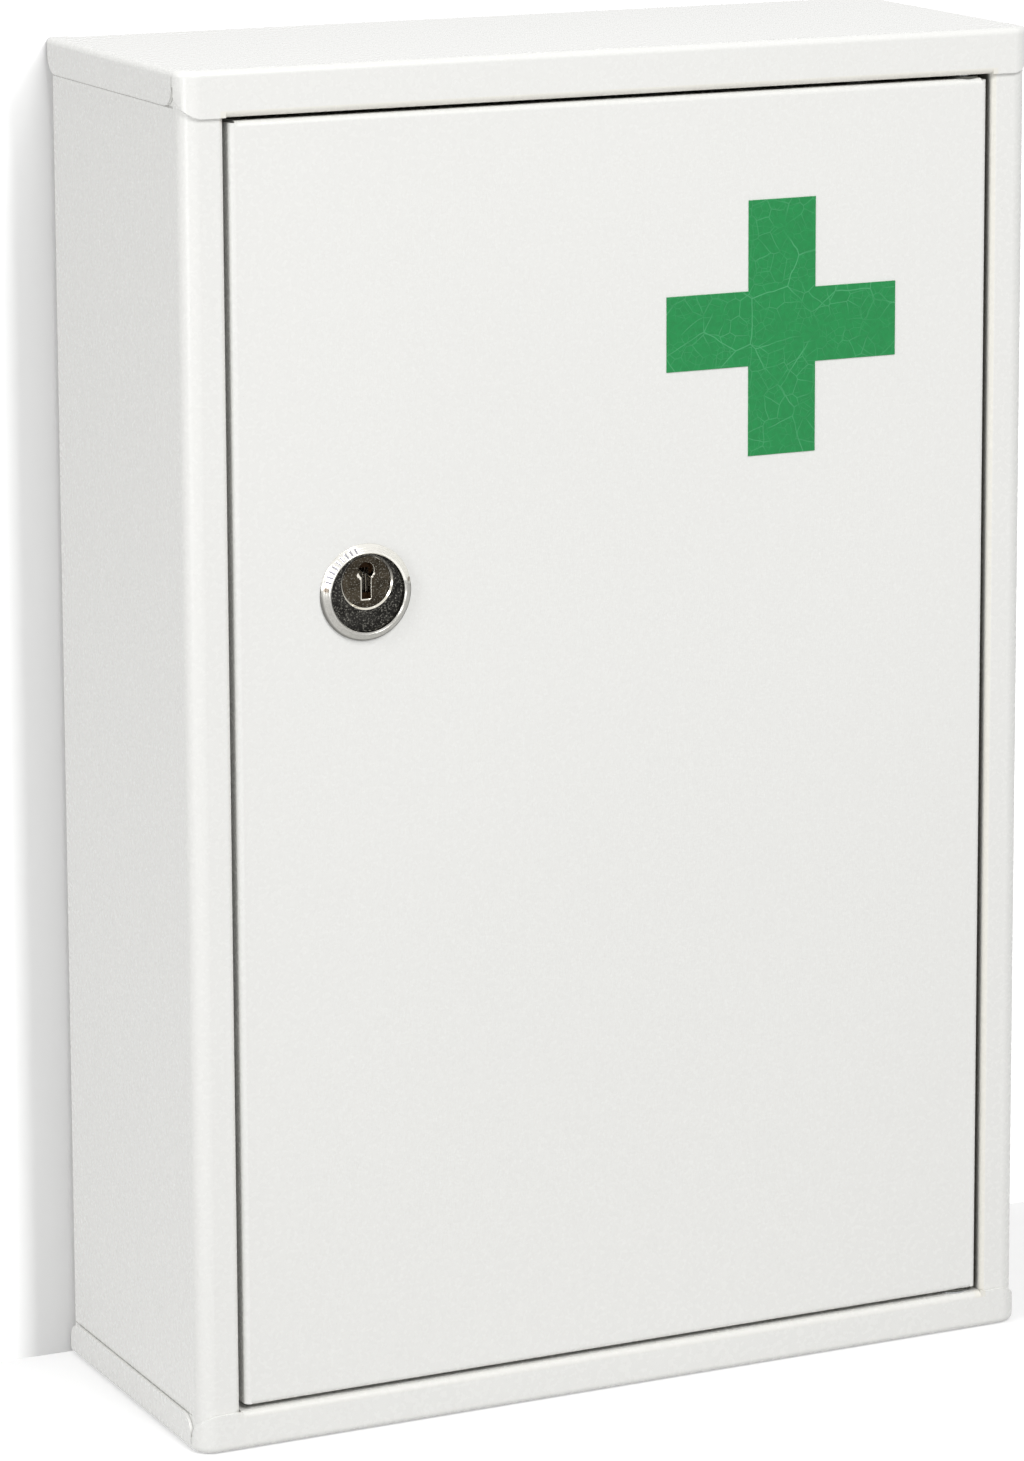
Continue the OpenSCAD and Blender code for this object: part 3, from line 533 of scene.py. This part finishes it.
def collar_mesh(lock):
    """The turned collar: a closed section (r, h) in millimetres, carried once round the lock's axis.

    The cone between r = 12 and r = 10.5 carries two turned rings, each a dip of exp(-((u - u0) / w)^2)
    across the cone, and the index marks, each a dip of exp(-((a - a0) r / w)^2) along it.
    """
    segments = 720
    outside = [(9.5, 0.0), (12.3, 0.0), (12.3, 0.5), (12.0, 0.8), (10.5, 2.4)]
    inside = [(10.3, 2.4), (9.9, 2.0), (9.9, 0.5), (9.5, 0.5)]
    outline = eased(outside + inside, 0.08)
    foot = int(np.argmin(np.hypot(outline[:, 0] - 11.95, outline[:, 1] - 0.86)))
    share = np.linspace(0.02, 0.98, 28)[:, None]
    crest = foot + 1
    cone = outline[foot] + share * (outline[crest] - outline[foot])
    section = np.concatenate([outline[:crest], cone, outline[crest:]])
    angle = np.linspace(0, FULL_TURN, segments, endpoint=False)
    radius = section[:, :1] + 0 * angle
    height = section[:, 1:] + 0 * angle

    u = np.zeros(len(section))
    u[crest : crest + len(cone)] = share[:, 0]
    on_cone = (u > 0)[:, None]
    rings = sum(np.exp(-(((u - at) / 0.045) ** 2)) for at in (0.34, 0.7))[:, None]
    marks = lock.mark_first + np.arange(lock.marks) * lock.mark_pitch
    away = np.abs((angle[:, None] - marks[None] + math.pi) % FULL_TURN - math.pi)
    mark = np.exp(-((away * 11.5 / 0.22) ** 2)).max(axis=1)[None]
    along = np.clip(u / 0.08, 0, 1) * np.clip((0.96 - u) / 0.08, 0, 1)
    dip = on_cone * (0.035 * rings + 0.09 * mark * along[:, None])
    cone_normal = np.array([1.6, 1.5]) / math.hypot(1.6, 1.5)
    points = out_of_door(radius - dip * cone_normal[0], height - dip * cone_normal[1], angle, lock_middle())
    mesh = ring_mesh("lock_collar_turned", points)
    # A share for each point of the painted shade in the index marks.
    mark_shade = mesh.attributes.new("mark_shade", "FLOAT", "POINT")
    mark_shade.data.foreach_set("value", (mark * along[:, None] + 0 * angle).ravel())
    return mesh


def housing_mesh(lock):
    """The lock's face and threaded barrel, with the bore for the plug off its centre.

    A row of points goes round at each (r, h) of the section, in millimetres. Rows outside circle the
    lock's axis, and rows inside circle the plug's. On the barrel, r dips into the thread by its depth
    times |2 frac(h / pitch + a / turn) - 1|, with flat crests and roots, and |x| stops at the flats.
    """
    segments = 360
    pitch, depth, flat = lock.thread_pitch / MM, 0.5, 8.0
    angle = np.linspace(0, FULL_TURN, segments, endpoint=False)
    rise = (plug_middle()[2] - lock_middle()[2]) / MM
    thread_h = np.arange(-12.6, -1.0, pitch / 11)
    barrel = [(9.4, 0.5), (9.4, -0.95)] + [(9.4, h) for h in thread_h[::-1]] + [(9.4, -12.65), (9.0, -13.0)]
    face = [(9.62, 1.3), (9.74, 1.27), (9.8, 1.2), (9.8, 0.5)]
    bore = [(6.0, -13.0), (6.0, -0.7), (6.55, -0.7), (6.55, 0.95), (6.9, 1.3)]
    section = np.array(face + barrel + bore)
    radius = section[:, :1] + 0 * angle
    height = section[:, 1:] + 0 * angle
    row = np.arange(len(section))
    on_barrel = ((row >= len(face)) & (row < len(face) + len(barrel)))[:, None]
    phase = (height / pitch + angle / FULL_TURN) % 1
    groove = np.clip(1.3 * np.abs(2 * phase - 1) - 0.15, 0, 1)
    threaded = on_barrel & (height < -1.0) & (height > -12.64)
    radius = radius - depth * groove * threaded
    points = out_of_door(radius, height, angle, lock_middle())
    limit = flat * MM
    across = points[..., 0] - lock_middle()[0]
    points[..., 0] = lock_middle()[0] + np.where(on_barrel, np.clip(across, -limit, limit), across)
    inner = row >= len(face) + len(barrel)
    points[inner, :, 2] += rise * MM
    return ring_mesh("lock_housing_threaded", points)


def post_mesh():
    """The stop post on the barrel's end: a pin (r, h) in millimetres, carried once round its own axis.

    The rings of points at r = 0 are merged, so that both ends close.
    """
    angle = np.linspace(0, FULL_TURN, 48, endpoint=False)
    section = np.array([(0, -12.9), (0.8, -12.9), (0.8, -13.55), (0.76, -13.66), (0.65, -13.7), (0, -13.7)])
    centre = np.array(plug_middle()) - (0, 0, 7 * MM)
    points = out_of_door(section[:, :1] + 0 * angle, section[:, 1:] + 0 * angle, angle, centre)
    mesh = ring_mesh("stop_post", points)
    shell = bmesh.new()
    shell.from_mesh(mesh)
    bmesh.ops.remove_doubles(shell, verts=shell.verts, dist=0.001 * MM)
    bmesh.ops.delete(shell, geom=[edge for edge in shell.edges if not edge.link_faces], context="EDGES")
    shell.to_mesh(mesh)
    shell.free()
    return mesh


def lock_middle():
    """Where the lock's axis meets the door's face."""
    low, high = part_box("lock_collar")
    return ((low.x + high.x) / 2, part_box("door_panel")[0].y, (low.z + high.z) / 2)


def plug_middle():
    """Where the plug's axis meets the door's face."""
    low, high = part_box("lock_wafers")
    return (lock_middle()[0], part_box("door_panel")[0].y, (low.z + high.z) / 2)


def softened(node_name, radius, material, name=None):
    """A copy of a CAD node with its cut edges rounded, as tumbling or a thick coat of paint leaves them."""
    name = name or node_name + "_finished"
    mesh = NODES[node_name].data.copy()
    mesh.name = name
    shell = bmesh.new()
    shell.from_mesh(mesh)
    bmesh.ops.remove_doubles(shell, verts=shell.verts, dist=0.002 * MM)
    bmesh.ops.dissolve_limit(
        shell, angle_limit=math.radians(1), verts=shell.verts, edges=shell.edges, delimit={"NORMAL"}
    )
    shell.to_mesh(mesh)
    shell.free()
    mesh.shade_smooth()
    piece = link_piece(name, mesh, material, frame_body(node_name), node_name)
    edges = piece.modifiers.new("eased edges", "BEVEL")
    edges.width = radius
    edges.segments = 3
    edges.limit_method = "ANGLE"
    edges.angle_limit = math.radians(50)
    edges.miter_outer = "MITER_ARC"
    flat = piece.modifiers.new("flat faces stay flat", "WEIGHTED_NORMAL")
    flat.mode = "FACE_AREA"
    flat.weight = 100
    flat.keep_sharp = True
    return piece


def frame_body(node_name):
    """The name of the body that a CAD node rides on."""
    bodies = frame["record"]["behaviour"]["bodies"]
    return next(body for body, nodes in bodies.items() if node_name in nodes)


# ---------------------------------------------------------------- settings


def colour_setting(name, description, hex_colour):
    """A colour with an alpha, given as sRGB hex."""
    return FloatVectorProperty(
        name=name, description=description, subtype="COLOR", size=4, min=0, max=1, default=linear(hex_colour)
    )


class CabinetPaint(bpy.types.PropertyGroup):
    body: colour_setting("Paint", "Colour of the powder coat", "#EFEFEC")
    # Colour of the painted warm reflection on the folds round the door's gap
    fold_reflection: colour_setting("Thick paint", "Colour where the powder gathers on the opening's folds", "#EFEADB")
    # Colour of the painted shade in the door's gap and along the caps' side lips
    gap_shade: colour_setting("Thin paint", "Colour where little powder reaches into the door's gap", "#8A8983")
    gap: FloatProperty(
        name="Door gap",
        description="Width of the gap between the door and the stiles",
        default=1.4 * MM,
        min=1.0 * MM,
        max=2.0 * MM,
        unit="LENGTH",
    )
    edge_radius: FloatProperty(
        name="Painted edge",
        description="Radius that the paint leaves on a cut edge",
        default=0.25 * MM,
        min=0.05 * MM,
        max=0.35 * MM,
        unit="LENGTH",
    )


class CabinetLock(bpy.types.PropertyGroup):
    collar: colour_setting("Collar", "Colour of the collar's bright nickel", "#F3F1EA")
    # The face's near-black colour is partly a painted dark reflection.
    face: colour_setting("Face", "Colour of the lock face's black nickel", "#2E2D2B")
    plug: colour_setting("Plug", "Colour of the plug's dark nickel", "#453E33")
    # Also the colour of the painted highlights on the lock.
    bright: colour_setting("Rims", "Colour of the nickel at the worn rims and in the keyhole", "#E9E4D8")
    chamfer: FloatProperty(
        name="Keyhole chamfer",
        description="Width of the chamfer round the keyhole",
        default=0.32 * MM,
        min=0.1 * MM,
        max=0.4 * MM,
        unit="LENGTH",
    )
    marks: IntProperty(name="Index marks", description="Marks cut in the collar", default=9, min=0, max=72)
    mark_first: FloatProperty(
        name="First mark",
        description="Angle of the first index mark, from the hinge side towards the top",
        default=math.radians(106),
        subtype="ANGLE",
    )
    mark_pitch: FloatProperty(
        name="Mark spacing",
        description="Angle from one index mark to the next",
        default=math.radians(7),
        subtype="ANGLE",
    )
    thread_pitch: FloatProperty(
        name="Thread pitch",
        description="Distance between the crests of the barrel's thread",
        default=1.0 * MM,
        min=0.5 * MM,
        max=2.0 * MM,
        unit="LENGTH",
    )


class CabinetCross(bpy.types.PropertyGroup):
    vinyl: colour_setting("Vinyl", "Colour of the cross", "#0B8A45")
    hairline: colour_setting("Hairlines", "Colour of the cracks in the vinyl", "#6CC48F")
    cell: FloatProperty(
        name="Crack spacing",
        description="Distance between the widest cracks",
        default=13 * MM,
        min=4 * MM,
        max=40 * MM,
        unit="LENGTH",
    )
    crack: FloatProperty(
        name="Crack width",
        description="Width of the widest cracks",
        default=0.2 * MM,
        min=0.1 * MM,
        max=1.0 * MM,
        unit="LENGTH",
    )


class CabinetStudio(bpy.types.PropertyGroup):
    azimuth: FloatProperty(
        name="Camera azimuth",
        description="Angle of the camera to the left of the door's front",
        default=math.radians(26.541),
        subtype="ANGLE",
    )
    elevation: FloatProperty(
        name="Camera elevation",
        description="Angle of the camera above the horizon",
        default=math.radians(10.121),
        subtype="ANGLE",
    )
    roll: FloatProperty(
        name="Camera roll",
        description="Turn of the camera about its own line of sight",
        default=math.radians(-0.0024),
        subtype="ANGLE",
    )
    distance: FloatProperty(
        name="Camera distance",
        description="Distance from the camera to the middle of the cabinet's front",
        default=1.4705,
        unit="LENGTH",
    )
    lens: FloatProperty(
        name="Camera lens",
        description="Focal length on a sensor 36 mm along the picture's longer side",
        default=141.93,
        unit="CAMERA",
    )
    pan: FloatVectorProperty(
        name="Camera pan",
        description="How far the cabinet stands to the right and above the middle of the view",
        size=2,
        default=(-7.39 * MM, -71.74 * MM),
        unit="LENGTH",
    )
    shift: FloatVectorProperty(
        name="Lens shift",
        description="How far the lens throws the picture right and up, as a share of its longer side",
        size=2,
        default=(0.0958, 0.1916),
        precision=4,
    )


# ---------------------------------------------------------------- operators


class CABINET_OT_sheet_metal(bpy.types.Operator):
    """Paints the folded sheets: the wrap, both end caps, the door and the shelves"""

    bl_idname = "cabinet.sheet_metal"
    bl_label = "Sheet Metal"

    def execute(self, context):
        paint = context.scene.cabinet_paint
        coat = powder_coat("white_powder_coat", paint)
        for name in ("body_wrap", "top_cap", "bottom_pan", "upper_shelf", "lower_shelf"):
            softened(name, paint.edge_radius, coat)
        softened("door_panel", paint.edge_radius, coat)
        return {"FINISHED"}


class CABINET_OT_cross(bpy.types.Operator):
    """Gives the cross its crazed vinyl"""

    bl_idname = "cabinet.cross"
    bl_label = "Cross"

    def execute(self, context):
        dress(crazed_vinyl("crazed_cast_vinyl", context.scene.cabinet_cross), "first_aid_cross")
        return {"FINISHED"}


class CABINET_OT_lock_case(bpy.types.Operator):
    """Turns the lock's collar and housing, and finishes the nut and washer that hold them"""

    bl_idname = "cabinet.lock_case"
    bl_label = "Lock Case"

    def execute(self, context):
        lock = context.scene.cabinet_lock
        nickel = collar_nickel("bright_nickel_plate", lock)
        zinc = plated("bright_zinc_plate", linear("#B9BDC2"), 0.3, 1.2 * MM, 0.72, 0.004 * MM)
        x, face, z = plug_middle()

        def lit_rim_and_barrel(tree, point):
            """1 on the bevel round the plug's bore, fading upwards as a painted highlight of light from
            above, and on the barrel.
            """
            parts = add(tree, "ShaderNodeSeparateXYZ", None, Vector=point).outputs
            near = ramp(tree, axis_distance(tree, point, x, z), 6.95 * MM, 7.05 * MM, 1.0, 0.0)
            on_bevel = ramp(tree, parts[1], face - 0.90 * MM, face - 0.86 * MM, 1.0, 0.0)
            near = maths(tree, "MULTIPLY", near, on_bevel)
            # Painted highlight: the bevel is brightest at its bottom, which faces the light from above.
            low = ramp(tree, parts[2], z - 4.5 * MM, z + 4.0 * MM, 1.0, 0.1)
            return maths(
                tree,
                "MAXIMUM",
                maths(tree, "MULTIPLY", near, low),
                ramp(tree, parts[1], face - 0.5 * MM, face - 0.4 * MM),
            )

        black = dark_nickel_with_highlights("black_nickel_and_dark_reflection", tuple(lock.face), tuple(lock.bright), lit_rim_and_barrel)
        mesh = collar_mesh(lock)
        collar = link_piece("lock_collar_turned", mesh, nickel, "door", "lock_collar")
        collar.visible_diffuse = False
        housing = housing_mesh(lock)
        link_piece("lock_housing_threaded", housing, black, "door", "lock_housing")
        link_piece("stop_post", post_mesh(), black, "door", "lock_housing")
        softened("lock_nut", 0.3 * MM, zinc)
        dress(zinc, "tooth_washer")
        return {"FINISHED"}


class CABINET_OT_lock_core(bpy.types.Operator):
    """Finishes the plug and everything that turns with it"""

    bl_idname = "cabinet.lock_core"
    bl_label = "Lock Core"

    def execute(self, context):
        lock = context.scene.cabinet_lock
        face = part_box("lock_plug")[0].y

        def keyhole_and_highlights(tree, point):
            """1 in the keyhole and on the barrel, and in painted highlights round the keyhole and along its
            slot, and 0 on the rest of the face.
            """
            x, _, z = plug_middle()
            depth = add(tree, "ShaderNodeSeparateXYZ", None, Vector=point).outputs[1]
            behind = ramp(tree, depth, face + 0.02 * MM, face + 0.06 * MM)
            near = ramp(tree, axis_distance(tree, point, x, z), 5.5 * MM, 5.6 * MM, 1.0, 0.0)
            bright = maths(tree, "MULTIPLY", behind, near)
            # Painted highlights round the keyhole, where the key also rubs.
            for right, up, radius in KEY_RUB_AND_HIGHLIGHTS:
                away = axis_distance(tree, point, x + right * MM, z + up * MM)
                spot = ramp(tree, away, 0.8 * radius * MM, 1.1 * radius * MM, 1.0, 0.0)
                bright = maths(tree, "MAXIMUM", bright, spot)
            # Painted highlights along the slot's left wall and at its bottom.
            for left, right, low, high in SLOT_HIGHLIGHTS:
                low_corner = (x + left * MM, face - MM, z + low * MM)
                high_corner = (x + right * MM, face + MM, z + high * MM)
                strip = mask_box(tree, point, low_corner, high_corner, 0.1 * MM)
                bright = maths(tree, "MAXIMUM", bright, strip)
            return bright

        dark = dark_nickel_with_highlights("dark_nickel_plate", tuple(lock.plug), tuple(lock.bright), keyhole_and_highlights)
        zinc = plated("zinc_plated_stampings", linear("#B4B8BC"), 0.32, 1.2 * MM, 0.7, 0.004 * MM)
        # Painted shade: the wafers' brass is coloured far darker than brass, as shade deep in the keyhole.
        shaded_brass = plated("stamped_brass", linear("#2A1E14"), 0.45, 0.6 * MM)
        plug = softened("lock_plug", lock.chamfer, dark)
        self.weigh_edges(plug.data, face)
        plug.modifiers[0].limit_method = "WEIGHT"
        for name in ("stop_washer", "lock_cam", "cam_screw"):
            softened(name, 0.15 * MM, zinc)
        dress(zinc, "spring_washer")
        dress(shaded_brass, "lock_wafers")
        return {"FINISHED"}

    def weigh_edges(self, mesh, face):
        """Marks the keyhole's rim for a full chamfer, and the rest of the plug's edges for a third of it."""
        x, _, z = plug_middle()
        shell = bmesh.new()
        shell.from_mesh(mesh)
        weights = shell.edges.layers.float.new("bevel_weight_edge")
        for edge in shell.edges:
            middle = (edge.verts[0].co + edge.verts[1].co) / 2
            in_front = middle.y < face + 0.01 * MM
            near = math.hypot(middle.x - x, middle.z - z) < 5.3 * MM
            if len(edge.link_faces) == 2 and edge.calc_face_angle() > math.radians(50):
                edge[weights] = 1.0 if in_front and near else 0.3
        shell.to_mesh(mesh)
        shell.free()


class CABINET_OT_fittings(bpy.types.Operator):
    """Finishes the hinge's pins and bushes, the shelf studs and the door's buffers"""

    bl_idname = "cabinet.fittings"
    bl_label = "Fittings"

    def execute(self, context):
        steel = plated("turned_steel", linear("#AEB0B2"), 0.28, 0.4 * MM, 0.8)
        nylon = moulded("grey_nylon", linear("#55554F"), 0.5, 0.8 * MM)
        rubber = moulded("grey_moulded_rubber", linear("#9C9C96"), 0.75, 0.5 * MM)
        dress(steel, "upper_hinge_pin", "lower_hinge_pin", "thrust_washer", "shelf_studs")
        dress(nylon, "upper_hinge_bush", "lower_hinge_bush")
        dress(rubber, "door_buffers")
        return {"FINISHED"}


class CABINET_OT_stage(bpy.types.Operator):
    """Makes the floor, the wall, the lamps, the sky and the camera"""

    bl_idname = "cabinet.stage"
    bl_label = "Stage"

    def execute(self, context):
        self.make_world(context.scene)
        self.make_floor()
        self.make_lamps(self.make_wall())
        self.make_camera(context.scene)
        context.scene.view_settings.view_transform = "Standard"
        return {"FINISHED"}

    def seen_directly(self, tree):
        """1 for a ray from the camera, a mirror or glass, and 0 for one that lights something."""
        rays = add(tree, "ShaderNodeLightPath").outputs
        seen = maths(tree, "MAXIMUM", rays["Is Camera Ray"], rays["Is Glossy Ray"])
        return maths(tree, "MAXIMUM", seen, rays["Is Transmission Ray"])

    def make_world(self, scene):
        """A pale sky that lights everything, and shows as plain white."""
        world = bpy.data.worlds.new("pale_studio")
        world.use_nodes = True
        scene.world = world
        tree = world.node_tree
        tree.nodes.clear()
        output = add(tree, "ShaderNodeOutputWorld")
        sky = add(tree, "ShaderNodeBackground", {"Color": linear("#FFFFFF"), "Strength": SKY_LIGHT})
        white = add(tree, "ShaderNodeBackground", {"Color": linear("#FFFFFF"), "Strength": 1.0})
        mix = add(tree, "ShaderNodeMixShader", None, Fac=self.seen_directly(tree))
        tree.links.new(sky.outputs[0], mix.inputs[1])
        tree.links.new(white.outputs[0], mix.inputs[2])
        tree.links.new(mix.outputs[0], output.inputs["Surface"])

    def make_floor(self):
        """A matt pale floor that the camera sees a little brighter, so that it shows as white."""
        material, tree, output = new_material("white_floor")
        matt = add(tree, "ShaderNodeBsdfDiffuse", {"Color": linear("#DADADA")})
        glow = add(tree, "ShaderNodeEmission", {"Color": linear("#FFFFFF")})
        strength = maths(tree, "MULTIPLY", self.seen_directly(tree), FLOOR_GLOW)
        tree.links.new(strength, glow.inputs["Strength"])
        both = add(tree, "ShaderNodeAddShader", None, _0=matt.outputs[0], _1=glow.outputs[0])
        tree.links.new(both.outputs[0], output.inputs["Surface"])
        reach, drop = 6.0, -0.2 * MM
        corners = [(-reach, -reach, drop), (reach, -reach, drop), (reach, reach, drop), (-reach, reach, drop)]
        self.make_plane("studio_floor", corners, material)

    def make_wall(self):
        """A wall behind the cabinet that takes its shadow, lights nothing, and is clear from behind."""
        material, tree, output = new_material("white_wall")
        matt = add(tree, "ShaderNodeBsdfDiffuse", {"Color": linear("#EEEEEE")})
        clear = add(tree, "ShaderNodeBsdfTransparent")
        side = add(tree, "ShaderNodeNewGeometry").outputs["Backfacing"]
        shown = add(tree, "ShaderNodeMixShader", None, Fac=side, _1=matt.outputs[0], _2=clear.outputs[0])
        tree.links.new(shown.outputs[0], output.inputs["Surface"])
        reach, height = 4.0, 3.0
        y = CAD_BOX[1][1] + 1.0 * MM
        corners = [(-reach, y, 0), (reach, y, 0), (reach, y, height), (-reach, y, height)]
        wall = self.make_plane("studio_wall", corners, material)
        wall.visible_diffuse = False
        wall.visible_glossy = False
        wall.visible_transmission = False
        wall.visible_shadow = False
        return wall

    def make_plane(self, name, corners, material):
        """One flat face through four corners."""
        mesh = bpy.data.meshes.new(name)
        mesh.from_pydata(corners, [], [(0, 1, 2, 3)])
        mesh.materials.append(material)
        plane = bpy.data.objects.new(name, mesh)
        bpy.context.scene.collection.objects.link(plane)
        return plane

    def make_lamp(self, name, place, target, size, power):
        """A square white softbox at a place, aimed at a target."""
        light = bpy.data.lights.new(name, "AREA")
        light.shape = "SQUARE"
        light.size = size
        light.energy = power
        lamp = bpy.data.objects.new(name, light)
        lamp.location = place
        lamp.rotation_euler = (Vector(target) - Vector(place)).to_track_quat("-Z", "Y").to_euler()
        bpy.context.scene.collection.objects.link(lamp)
        return lamp

    def make_lamps(self, wall):
        """The softboxes for the cabinet, and one for the wall alone, whose shadow falls to the left."""
        target = (0, 0, 0.18)
        for name, place, size, power in LAMPS:
            self.make_lamp(name, place, target, size, power)
        wall_lamp = self.make_lamp("wall_softbox", (0.22, -2.0, 0.70), target, 0.24, 33)
        only_wall = bpy.data.collections.new("wall_only")
        only_wall.objects.link(wall)
        wall_lamp.light_linking.receiver_collection = only_wall

    def make_camera(self, scene):
        """Looks at the middle of the front from the angles set, moved by the pan, through a shifted lens."""
        studio = scene.cabinet_studio
        middle = Vector((0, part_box("bottom_pan")[0].y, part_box("top_cap")[1].z / 2))
        a, e, roll = studio.azimuth, studio.elevation, studio.roll
        back = Vector((-math.sin(a) * math.cos(e), -math.cos(a) * math.cos(e), math.sin(e)))
        level = Vector((math.cos(a), -math.sin(a), 0))
        upright = back.cross(level)
        right = math.cos(roll) * level + math.sin(roll) * upright
        up = math.cos(roll) * upright - math.sin(roll) * level
        data = bpy.data.cameras.new("photograph_camera")
        data.sensor_width = 36
        data.lens = studio.lens
        data.shift_x = -studio.shift[0]
        data.shift_y = -studio.shift[1]
        data.clip_start = 0.05
        camera = bpy.data.objects.new("photograph_camera", data)
        place = middle + studio.distance * back - studio.pan[0] * right - studio.pan[1] * up
        camera.matrix_world = Matrix.Translation(place) @ Matrix((right, up, back)).transposed().to_4x4()
        scene.collection.objects.link(camera)
        scene.camera = camera


class CABINET_PT_sidebar(bpy.types.Panel):
    bl_idname = "CABINET_PT_sidebar"
    bl_label = "Medicine Cabinet"
    bl_space_type = "VIEW_3D"
    bl_region_type = "UI"
    bl_category = "Cabinet"

    def draw(self, context):
        layout = self.layout
        for group in (getattr(context.scene, name) for name in GROUPS):
            for name in group.bl_rna.properties.keys():
                if name not in ("rna_type", "name"):
                    layout.prop(group, name)
        for step in STEPS:
            layout.operator(step.bl_idname)


GROUPS = {
    "cabinet_paint": CabinetPaint,
    "cabinet_lock": CabinetLock,
    "cabinet_cross": CabinetCross,
    "cabinet_studio": CabinetStudio,
}
STEPS = (
    CABINET_OT_sheet_metal,
    CABINET_OT_cross,
    CABINET_OT_lock_case,
    CABINET_OT_lock_core,
    CABINET_OT_fittings,
    CABINET_OT_stage,
)


def register():
    for cls in (*GROUPS.values(), *STEPS, CABINET_PT_sidebar):
        bpy.utils.register_class(cls)
    for name, group in GROUPS.items():
        setattr(bpy.types.Scene, name, PointerProperty(type=group))


def unregister():
    for name in GROUPS:
        delattr(bpy.types.Scene, name)
    for cls in (CABINET_PT_sidebar, *reversed(STEPS), *reversed(list(GROUPS.values()))):
        bpy.utils.unregister_class(cls)


def main():
    register()
    for step in STEPS:
        area, name = step.bl_idname.split(".")
        getattr(getattr(bpy.ops, area), name)()


if __name__ == "__main__":
    main()
